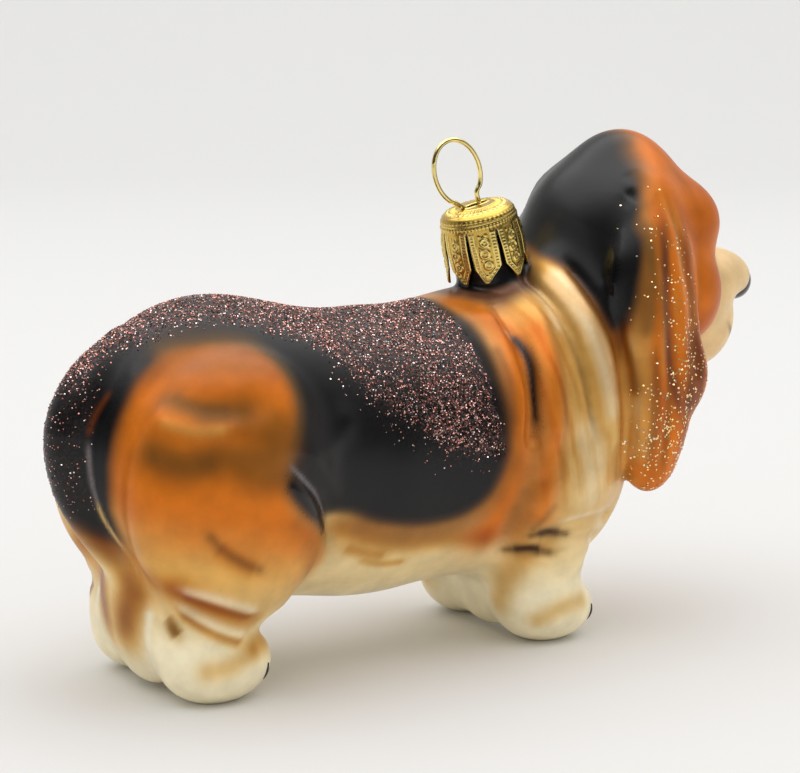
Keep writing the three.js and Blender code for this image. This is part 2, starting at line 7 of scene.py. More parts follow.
import bpy
import numpy as np
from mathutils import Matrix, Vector


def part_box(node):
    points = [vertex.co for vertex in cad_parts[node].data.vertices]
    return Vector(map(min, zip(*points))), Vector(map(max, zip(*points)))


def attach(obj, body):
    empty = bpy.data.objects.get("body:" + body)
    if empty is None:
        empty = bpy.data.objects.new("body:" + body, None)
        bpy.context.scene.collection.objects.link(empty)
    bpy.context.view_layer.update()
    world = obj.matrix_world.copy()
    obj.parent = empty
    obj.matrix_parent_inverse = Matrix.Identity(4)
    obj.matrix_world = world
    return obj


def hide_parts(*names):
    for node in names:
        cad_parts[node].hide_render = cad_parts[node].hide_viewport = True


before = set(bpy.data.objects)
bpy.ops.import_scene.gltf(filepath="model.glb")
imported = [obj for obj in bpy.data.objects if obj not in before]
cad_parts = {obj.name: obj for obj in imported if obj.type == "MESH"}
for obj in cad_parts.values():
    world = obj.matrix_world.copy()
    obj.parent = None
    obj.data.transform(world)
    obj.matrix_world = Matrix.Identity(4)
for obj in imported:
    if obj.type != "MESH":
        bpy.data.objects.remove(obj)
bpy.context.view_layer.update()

MM = 0.001
BARREL_FRONT = 3.0  # the barrel's front cut in the hound's own frame
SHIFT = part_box("barrel")[1].x / MM - BARREL_FRONT

CELL = 0.42  # facet size of the glass skin
WRINKLE_ZONE = 3.0  # how near the skin the wrinkles are worked out
SEARCH_BOX = ((-56.0, 0.0, -1.2), (68.0, 21.6, 75.6))  # holds the left half of the glass

# Forms of the glass: middle and half sizes
RUMP = ((-28.6, 0, 32.4), (20.1, 16, 20.2))
BARREL = ((-5, 0, 28.9), (30, 16, 20.4))
SHOULDERS = ((17.5, 0, 30.3), (19, 17.5, 20.5))
BREAST = ((27.6, 0, 25), (10.5, 13, 16))
SKULL = ((40.3, 0, 56.5), (14.6, 12, 13.3))
CROWN = ((41.2, 0, 65), (6.4, 7, 7))
BROW = ((49, 6, 58.5), (4.8, 4.6, 5))
CHEEK = ((46, 7.5, 48.5), (7, 6.5, 8))
LIPS = ((54.5, 0, 43.5), (7.1, 7.3, 8.2))
BRIDGE = ((56.2, 0, 49.0), (9.5, 6.1, 5.0))
NOSE = ((63.4, 0, 48.2), (2.6, 3.5, 3))
EYE = ((53.2, 4.9, 54.4), (1.7, 1.9, 1.6))
EAR_ROOT = ((38, 9, 58.5), (5, 3.6, 7))
EAR_TOP = ((37, 12.6, 51), (7.6, 4, 9))
EAR_MIDDLE = ((37.5, 14.6, 40), (7, 3.8, 11))
EAR_END = ((36, 14.2, 30), (5.4, 4.4, 9.3))
EAR_LOBE = ((41.5, 15, 37.5), (3.6, 3.3, 5))
THIGH = ((-31.1, 11, 28.8), (15.1, 9.3, 18))
HIND_PAW = ((-33.2, 9.6, 5.2), (7.8, 6, 5.6))
HIND_WEB = ((-37, 0, 13.4), (6.6, 9.5, 12.8))
FORE_PAW = ((21.3, 9.3, 4.7), (7.2, 6, 5))
FORE_WEB = ((18, 0, 8), (4, 8, 7.4))

# Forms along a line: points, and the radius at each
NECK = ([(24, 0, 34), (38.5, 0, 51.5)], [16.5, 12.5])
SHIN = ([(-32, 10, 17), (-36.5, 9.3, 9.5)], [8, 5.2])
FORE_LEG = ([(19.6, 9.5, 22), (19, 9.3, 8)], [9.6, 6.3])
TAIL = (
    [(-40.6, 0, 46), (-45.7, 0, 41.8), (-48.5, 0, 36), (-48, 0, 29), (-44.9, 0, 22.5), (-41.4, 0, 17)],
    [3.4, 3.7, 3.8, 3.4, 2.9, 2.2],
)

# Wrinkles: rise out of the skin, width, and the line that each follows
WRINKLES = [
    (-0.5, 1.6, [(6, 10, 45), (7.7, 14.8, 39.6), (8, 17, 31)]),
    (0.7, 2.6, [(10.5, 9, 46.5), (11.2, 15.5, 39), (10.5, 17.5, 31)]),
    (-1.5, 1.3, [(14, 7, 49), (13.8, 13, 44), (13.5, 16.5, 36.5), (12.3, 17.5, 30)]),
    (1.0, 2.0, [(17.5, 4, 51.5), (18.2, 10, 48), (17.2, 15.5, 40.5), (16.5, 17.5, 33)]),
    (-0.7, 1.0, [(20.5, 3, 52.5), (22, 11, 47.5), (22.8, 15.5, 40.5), (24, 17.5, 31)]),
    (0.8, 2.6, [(24, 6, 53.5), (25.5, 13, 46.5), (27, 16, 39), (27.5, 17, 30)]),
    (-1.0, 1.2, [(25.5, 6, 54.5), (27.5, 12, 49), (29.8, 15, 42), (30.6, 16.5, 34), (31, 15.5, 27)]),
    (-0.9, 1.6, [(12.5, 17.5, 25.5), (10.8, 16.2, 20.7), (10.6, 13.5, 15)]),
    (0.6, 1.0, [(17, 18, 26), (13.5, 17, 20)]),
    (-1.0, 1.2, [(32, 8, 17), (28, 15, 17.5), (21, 18, 18.5), (14, 16.6, 16.8)]),
    (-0.7, 1.0, [(29, 9, 14.6), (25, 15.5, 15.2), (19, 17.5, 15.8), (11.6, 13.7, 14.2)]),
    (-0.4, 0.9, [(26, 13, 13), (14, 16, 12)]),
    (-0.9, 1.6, [(-25.7, 19.4, 32), (-21.5, 18, 28), (-18, 13.8, 21.8)]),
    (0.9, 0.85, [(-40.5, 14.5, 17.5), (-36.5, 17, 15.8), (-31, 17.5, 13.5)]),
    (0.9, 0.85, [(-40.3, 13, 15), (-36.4, 15.5, 12), (-31.8, 15, 9.8)]),
    (0.6, 1.0, [(-40.5, 11.9, 11.6), (-36.4, 14.5, 8.4)]),
    (-0.5, 2.0, [(-38.6, 18.5, 24.9), (-33.8, 19.2, 21), (-29.5, 19, 19)]),
    (-0.6, 2.6, [(-41.8, 12.6, 43.4), (-38.8, 15.9, 41), (-34.4, 18.1, 40.4), (-31.6, 18.7, 40.8)]),
    (0.4, 2.1, [(-43.4, 14, 40), (-40, 16.6, 38.4), (-35.4, 18.6, 38)]),
    (-0.3, 3.2, [(-43, 15.4, 34.2), (-36.4, 19, 35.4), (-30, 20, 32)]),
    (0.35, 2.0, [(-25.2, 18.6, 32.5), (-19.8, 15.8, 33.6), (-16.2, 15, 36.6)]),
    (-0.5, 1.2, [(39.5, 12, 62), (41, 16, 52), (41, 17.5, 42), (41.3, 18, 37)]),
    (-0.5, 1.2, [(36, 13, 58), (37, 17, 48), (36.2, 18, 37), (35.5, 18, 27)]),
    (-0.7, 1.2, [(35.5, 9.5, 67.5), (36, 11.5, 65), (34, 11.3, 63)]),
    (-0.8, 1.4, [(64, 0, 45.2), (60.5, 5.5, 45.4), (57, 7.5, 43), (53, 8, 38.5)]),
]

# Cap, stem and loop
CAP_LEAN = 15.0
CAP_TURN = -10.5
CAP_TOP = (15.2, 0, 61.9)
PIKE_TOP_R = 4.3
PIKE_R = 4.9
PIKE_BELOW_TOP = 3.8
PIKE_TAPER = 2.0
PIKE_ROOT = 14.0


# Distances to the forms, below 0 inside
def ellipsoid(form):
    (cx, cy, cz), (a, b, c) = form

    def distance(x, y, z):
        u, v, w = (x - cx) / a, (y - cy) / b, (z - cz) / c
        near = np.sqrt(u * u + v * v + w * w)
        slope = np.sqrt((u / a) ** 2 + (v / b) ** 2 + (w / c) ** 2)
        return near * (near - 1) / np.maximum(slope, 1e-6)

    return distance


def off_segment(x, y, z, a, b):
    """How far along the segment the nearest point is, from 0 to 1, and the square of the distance to it."""
    dx, dy, dz = b[0] - a[0], b[1] - a[1], b[2] - a[2]
    px, py, pz = x - a[0], y - a[1], z - a[2]
    t = np.clip((px * dx + py * dy + pz * dz) / (dx * dx + dy * dy + dz * dz), 0, 1)
    return t, (px - t * dx) ** 2 + (py - t * dy) ** 2 + (pz - t * dz) ** 2


def limb(form):
    points, radii = form
    if len(points) > 2:
        line = smooth_line(np.column_stack([points, radii]), 3)
        points, radii = line[:, :3], line[:, 3]

    def distance(x, y, z):
        nearest = None
        for a, b, ra, rb in zip(points[:-1], points[1:], radii[:-1], radii[1:]):
            t, square = off_segment(x, y, z, a, b)
            away = np.sqrt(square) - (ra + t * (rb - ra))
            nearest = away if nearest is None else np.minimum(nearest, away)
        return nearest

    return distance


def blend(width, whole, other):
    """Two distances joined with a rounded valley between their forms."""
    near = np.maximum(width - np.abs(whole - other), 0) / width
    return np.minimum(whole, other) - near * near * width / 4


def melt(width, *forms):
    def distance(x, y, z):
        whole = forms[0](x, y, z)
        for form in forms[1:]:
            whole = blend(width, whole, form(x, y, z))
        return whole

    return distance


def paired(form):
    return lambda x, y, z: form(x, np.abs(y), z)


def smooth_line(points, steps=6):
    """Points on the rounded line through the given ones."""
    p = np.array(points, float)
    p = np.vstack([2 * p[0] - p[1], p, 2 * p[-1] - p[-2]])
    made = []
    for a, b, c, d in zip(p[:-3], p[1:-2], p[2:-1], p[3:]):
        for t in np.arange(steps) / steps:
            bend = 2 * a - 5 * b + 4 * c - d + t * (3 * b - a - 3 * c + d)
            made.append(b + 0.5 * t * (c - a + t * bend))
    made.append(p[-2])
    return np.array(made)


THIN_LINE = 1.3  # a line no wider than this also fades towards both ends


def near_line(x, y, z, points, width):
    """1 on the line, falling off with distance as a bell of the given width."""
    line = smooth_line(points) if len(points) > 2 else points
    square = np.full(np.shape(x), np.inf)
    along = np.zeros(np.shape(x))
    for i, (a, b) in enumerate(zip(line[:-1], line[1:])):
        t, away = off_segment(x, y, z, a, b)
        along = np.where(away < square, (i + t) / (len(line) - 1), along)
        square = np.minimum(square, away)
    bell_shape = np.exp(-square / (width * width))
    if width > THIN_LINE:
        return bell_shape
    return bell_shape * np.clip(8 * np.minimum(along, 1 - along) + 0.25, 0, 1)


def wrinkled(x, y, z):
    side = np.abs(y)
    return sum(rise * near_line(x, side, z, points, width) for rise, width, points in WRINKLES)


def in_cap_frame(x, y, z):
    """Coordinates about the cap's top, with the last one along its axis."""
    lean = math.radians(CAP_LEAN)
    dx, dz = x - CAP_TOP[0], z - CAP_TOP[2]
    return dx * math.cos(lean) + dz * math.sin(lean), y, dz * math.cos(lean) - dx * math.sin(lean)


def stem(x, y, z):
    u, v, w = in_cap_frame(x, y, z)
    taper = np.clip((w + PIKE_BELOW_TOP + PIKE_TAPER) / PIKE_TAPER, 0, 1)
    away = np.hypot(u, v) - (PIKE_R + (PIKE_TOP_R - PIKE_R) * taper)
    return np.maximum(np.maximum(away, w + PIKE_BELOW_TOP), -PIKE_ROOT - w)


chest = melt(7, ellipsoid(SHOULDERS), ellipsoid(BREAST))
trunk = melt(8, ellipsoid(RUMP), ellipsoid(BARREL), chest)
skull = melt(
    4,
    melt(4, ellipsoid(SKULL), ellipsoid(CROWN)),
    melt(3, paired(ellipsoid(BROW)), paired(ellipsoid(CHEEK))),
)
muzzle = melt(3, ellipsoid(LIPS), ellipsoid(BRIDGE))
ear_length = melt(4, *map(ellipsoid, (EAR_ROOT, EAR_TOP, EAR_MIDDLE, EAR_END)))
ear = paired(melt(2, ear_length, ellipsoid(EAR_LOBE)))
thigh = paired(ellipsoid(THIGH))
hind_leg = melt(3, paired(melt(3, limb(SHIN), ellipsoid(HIND_PAW))), ellipsoid(HIND_WEB))
fore_leg = melt(3, paired(melt(2.5, limb(FORE_LEG), ellipsoid(FORE_PAW))), ellipsoid(FORE_WEB))
tail = limb(TAIL)

# The forms that are joined to the trunk, each with the width of its rounded valley
JOINS = [(3, limb(NECK)), (4, skull), (3, muzzle), (1.6, thigh), (3, hind_leg), (4, fore_leg), (1.5, tail)]
STEM_MELT = 1.2


def smooth_hound(x, y, z):
    whole = trunk(x, y, z)
    for width, form in JOINS:
        whole = blend(width, whole, form(x, y, z))
    # The ear parts sharply from the cheek and melts widely into the crown
    into_crown = 1.2 + 4.3 * np.clip((z - 52) / 12, 0, 1)
    whole = blend(into_crown, whole, ear(x, y, z))
    return blend(STEM_MELT, whole, stem(x, y, z))


def hound(x, y, z):
    return np.maximum(smooth_hound(x, y, z) - wrinkled(x, y, z), -z)


def skin_mesh(low, high):
    """Corners and four-sided facets of the hound's surface, worked out for y > 0 and mirrored."""
    axes = [np.arange(a, b + CELL, CELL, dtype=np.float32) for a, b in zip(low, high)]
    x, y, z = np.meshgrid(*axes, indexing="ij")
    value = smooth_hound(x, y, z)
    close = np.abs(value) < WRINKLE_ZONE
    value[close] -= wrinkled(x[close], y[close], z[close])
    value = np.maximum(value, -z)
    value = np.concatenate([value[:, :0:-1], value], axis=1)
    origin = np.array([low[0], -axes[1][-1], low[2]])
    inside = value < 0
    count = np.array(value.shape) - 1
    corners = {
        (i, j, k): value[i : count[0] + i, j : count[1] + j, k : count[2] + k]
        for i in (0, 1) for j in (0, 1) for k in (0, 1)
    }
    below = sum((v < 0).astype(np.int8) for v in corners.values())
    active = (below > 0) & (below < 8)
    cells = np.argwhere(active)
    number = np.full(active.shape, -1)
    number[active] = np.arange(len(cells))
    total = np.zeros((len(cells), 3))
    crossings = np.zeros(len(cells))
    at = tuple(cells.T)
    for a in corners:
        for axis in range(3):
            if a[axis]:
                continue
            b = tuple(1 if n == axis else v for n, v in enumerate(a))
            va, vb = corners[a][at].astype(float), corners[b][at].astype(float)
            crosses = (va < 0) != (vb < 0)
            t = np.where(crosses, va / np.where(crosses, va - vb, 1), 0)
            total += (np.array(a) + t[:, None] * (np.array(b) - np.array(a))) * crosses[:, None]
            crossings += crosses
    points = (cells + total / crossings[:, None]) * CELL + origin
    facets = []
    for axis in range(3):
        u, v = [n for n in range(3) if n != axis]
        lower = [slice(None)] * 3
        upper = [slice(None)] * 3
        lower[axis], upper[axis] = slice(0, -1), slice(1, None)
        first = inside[tuple(lower)]
        g = np.argwhere(first != inside[tuple(upper)])
        keep = (g[:, u] > 0) & (g[:, v] > 0) & (g[:, u] < value.shape[u] - 1) & (g[:, v] < value.shape[v] - 1)
        g = g[keep]
        du, dv = np.eye(3, dtype=int)[u], np.eye(3, dtype=int)[v]
        ring = [number[tuple((g - d).T)] for d in (du + dv, dv, 0 * du, du)]
        made = np.stack(ring, 1)
        solid = first[tuple(g.T)]
        flip = ~solid if axis != 1 else solid
        made[flip] = made[flip][:, ::-1]
        facets.append(made)
    return points, np.concatenate(facets)


def slope(field, p, step=0.05):
    """The unit direction in which the field grows at each point."""
    made = np.empty_like(p)
    for axis in range(3):
        a, b = p.copy(), p.copy()
        a[:, axis] -= step
        b[:, axis] += step
        made[:, axis] = field(*b.T) - field(*a.T)
    return made / np.maximum(np.linalg.norm(made, axis=1), 1e-9)[:, None]


def onto_skin(p, rounds=2):
    for _ in range(rounds):
        p = p - slope(hound, p) * hound(*p.T)[:, None]
    return p


# Lacquers, as the light that each sends back
CREAM = (0.92, 0.72, 0.38)
PEARL = (0.96, 0.87, 0.62)
HONEY = (0.74, 0.47, 0.16)
MARIGOLD = (0.80, 0.45, 0.11)
GOLD = (0.68, 0.38, 0.09)
ORANGE = (0.70, 0.175, 0.004)
RUST = (0.42, 0.088, 0.005)
AMBER = (0.27, 0.088, 0.005)
BROWN = (0.17, 0.080, 0.016)
COFFEE = (0.13, 0.052, 0.006)
UMBER = (0.045, 0.020, 0.010)
PLUM = (0.085, 0.026, 0.022)
BLACK = (0.004, 0.004, 0.0045)
ASH = (0.19, 0.17, 0.17)
# Thin brown lacquers that darken what lies under them, as the share of each light they let through; most are
# laid as painted shade in hollows and creases
TAN = (0.60, 0.34, 0.11)
SEPIA = (0.24, 0.12, 0.035)
THIN_LACQUERS = (TAN, SEPIA)
# Askew across the hound, the coordinate that parts the black of the rump from the orange of the haunch
ASKEW = (0.839, 0.545)
HAUNCH_BACK = ((22, 26.7, 32.7, 38.5, 43.5, 47), (-33.5, -34.6, -34.9, -34.1, -32.0, -30.5))


def soft(low, high, v):
    t = np.clip((v - low) / (high - low), 0, 1)
    return t * t * (3 - 2 * t)


def off_outline(x, z, points):
    """Distance to a closed outline seen from the side, below 0 inside it."""
    p = smooth_line([*points, points[0]], 4)
    away = np.full(x.shape, 1e9)
    wind = np.zeros(x.shape, bool)
    for (ax, az), (bx, bz) in zip(p[:-1], p[1:]):
        dx, dz = bx - ax, bz - az
        t = np.clip(((x - ax) * dx + (z - az) * dz) / (dx * dx + dz * dz + 1e-12), 0, 1)
        away = np.minimum(away, np.hypot(x - ax - t * dx, z - az - t * dz))
        crosses = (az > z) != (bz > z)
        with np.errstate(divide="ignore", invalid="ignore"):
            wind ^= crosses & (x < ax + (z - az) * dx / (bz - az if bz != az else 1e-9))
    return np.where(wind, -away, away)


def ripple(x, y, z, scale, seed=0.0):
    """A slow unevenness between -1 and 1, for the edges of sprayed paint."""
    s = scale
    return (
        np.sin(x / s + 1.7 * np.sin(z / s * 0.9 + seed) + seed)
        + np.sin(z / s * 1.1 + 1.3 * np.sin(y / s * 1.2 - seed) + 2 * seed)
        + np.sin((x + y - z) / s * 0.7 + seed * 3)
    ) / 3


SADDLE = [
    (3, 60), (6, 50), (8.0, 46.7), (8.8, 43.2), (9.0, 38.4), (8.9, 33), (8.2, 27.5), (6.4, 23.6),
    (2.2, 21.3), (-4, 21), (-10.6, 22.2), (-17.6, 24.6), (-28, 22), (-38, 21), (-46.5, 22.6),
    (-52, 25.4), (-62, 28), (-62, 62),
]
HAUNCH = [
    (-41.5, 45.6), (-36.5, 47.4), (-29, 47.2), (-25.4, 44.6), (-24.2, 41.2), (-25.4, 37.8),
    (-27.4, 34.8), (-28, 32), (-27.2, 29.8), (-25, 26.8), (-21.6, 24.2), (-19.6, 21.6), (-17.4, 17),
    (-22, 10), (-34, 8), (-43, 14), (-48, 23), (-49, 31), (-48, 38), (-45, 43),
]
# The front edge of the black on the head and the upper ear, by height
BLACK_FRONT = (
    (44, 47.5, 50.7, 54.8, 58.9, 62.9, 66.9, 69.6, 71.7),
    (29.6, 31.2, 32.3, 33.2, 33.8, 35.2, 37.3, 38.4, 39.6),
)
# Where the head's colours end on the neck, by distance from the middle
NAPE_EDGE = ((0, 4, 8, 10, 12.4, 14), (58.6, 57.6, 57.4, 56.4, 55.0, 53.4))

# Glitter on the back: most flakes on a square millimetre, and the height of its lower edge along X
BACK_RATE = 12.0
GLITTER_EDGE = (
    (-49.4, -45.1, -38.1, -29.8, -19.4, -15.3, -12.6, -7.6, -3.5, 0, 6.2, 9),
    (41.4, 46.6, 49.3, 49.8, 47.8, 44.5, 40.8, 36.6, 34.4, 31.4, 30, 31),
)


def flake_rate(p):
    """Flakes of glitter on a square millimetre of the back, the rump and the tail."""
    x, y, z = p.T
    above = z - np.interp(x, *GLITTER_EDGE) + 1.2 * ripple(x, y, z, 3.1, 4.0)
    patchy = 0.7 + 0.3 * ripple(x, y, z, 2.2, 1.9)
    thick = BACK_RATE * soft(-1.6, 1.8, above) * patchy
    thin = 1.6 * np.exp(np.minimum(above, 0) / 2.2) * soft(-20, -13, x) * soft(-6, -3.5, above)
    tail_dust = 1.1 * soft(-44.5, -47, x) * soft(22, 30, z) * soft(4.6, 3.4, np.abs(y))
    front = soft(0.6, -0.6, x - 7.2 + 0.12 * (z - 40) + 0.5 * ripple(x, y, z, 1.9, 0.3))
    return np.maximum(np.maximum(thick, thin), tail_dust) * front * soft(24, 28, z)


# Lines painted round the mouth, over the eye and behind the ear
MOUTH = [
    (62.6, 0, 44.6), (61.7, 0, 42.6), (61.1, 1.5, 41.4), (60.3, 3, 40.5), (59.3, 4.4, 40.5),
    (58.6, 5.4, 41.2), (57.6, 6.4, 42.6),
]
UPPER_LID = [(53.6, 6.3, 51.8), (53.3, 7, 53.3), (52.8, 8, 54), (52.1, 9.2, 53.8), (51.4, 10.2, 52.6)]
BEHIND_EAR = [
    (34.6, 10.6, 62.8), (33.4, 11.3, 60.4), (31.6, 12.2, 57.6), (30, 13.1, 54), (29.4, 13.3, 50.6),
    (29.6, 14, 46.4),
]

# Strokes of the airbrush: lacquer, cover, width, line, and the metal and roughness where they change
SHOULDER_STROKES = [
    (ORANGE, 0.98, 4.2,
     [(8, 4, 50), (10.8, 9, 47.6), (12.2, 12.2, 44.7), (11.8, 15.1, 40.2), (11, 16.9, 34.3),
      (10.4, 17.2, 28.8), (9.4, 16.3, 23), (8, 14.2, 18.5)], 0.35, 0.36),
    (ORANGE, 0.85, 2.3,
     [(17, 12.2, 45), (17.2, 14.8, 41.8), (16.6, 16.9, 36.5), (16, 17.7, 31), (14.9, 18.3, 25.6),
      (14.1, 17.6, 20.5)], 0.35, 0.36),
    # Amber low in the shoulder's fold: painted shade
    (AMBER, 0.45, 1.6, [(14.6, 17.2, 32), (13, 17.6, 26), (12.4, 16.8, 20)], 0.3),
    (ORANGE, 0.35, 1.6, [(24, 9, 50.5), (26.5, 13, 45), (27.5, 16, 37)], 0.4),
    # Rust at the top of the shoulder's fold is painted shade, and the pale line on its lip a painted
    # highlight
    (RUST, 0.6, 1.5, [(12, 10, 46.4), (13.2, 12.5, 44)]),
    (PEARL, 0.45, 0.5, [(12.6, 10.8, 46), (13.4, 12, 44.6)]),
]
# Painted dark reflections and shade in the haunch's dents, in amber and coffee
DENT_SHADE_STROKES = [
    (AMBER, 0.95, 2, [(-41.6, 12.4, 42), (-39.6, 15.4, 40.6), (-36.6, 17.5, 40), (-33.6, 18.4, 40.2)]),
    (AMBER, 0.9, 2.6,
     [(-44, 13.6, 35.2), (-41.4, 16.8, 34.2), (-38, 18.7, 34.6), (-34.4, 19.5, 34.4), (-30.6, 20, 33.4)]),
    (AMBER, 0.7, 3, [(-32, 18.4, 39), (-29.4, 19, 36.4), (-29.6, 20, 33.4)]),
    (COFFEE, 0.7, 1.1, [(-41.2, 13.2, 43), (-40.2, 14.8, 41.8), (-38, 16.6, 40.8), (-34.4, 18, 40.6)]),
    (COFFEE, 0.4, 1.4, [(-38.6, 16.8, 39.8), (-35.4, 18.2, 39.8), (-32.6, 18.8, 40.4)]),
    (COFFEE, 0.5, 1.8, [(-43.8, 14.2, 34.4), (-41.2, 17, 33.4), (-38.6, 18.6, 33.8)]),
    (AMBER, 0.75, 2.4, [(-33.6, 19.8, 32.6), (-30.8, 20, 31.6), (-29.4, 19.8, 34.6), (-28.4, 19, 38)]),
    (AMBER, 0.4, 2.2, [(-25.6, 19.4, 24.6), (-22.6, 17.6, 20.4), (-21, 15.4, 17)]),
]
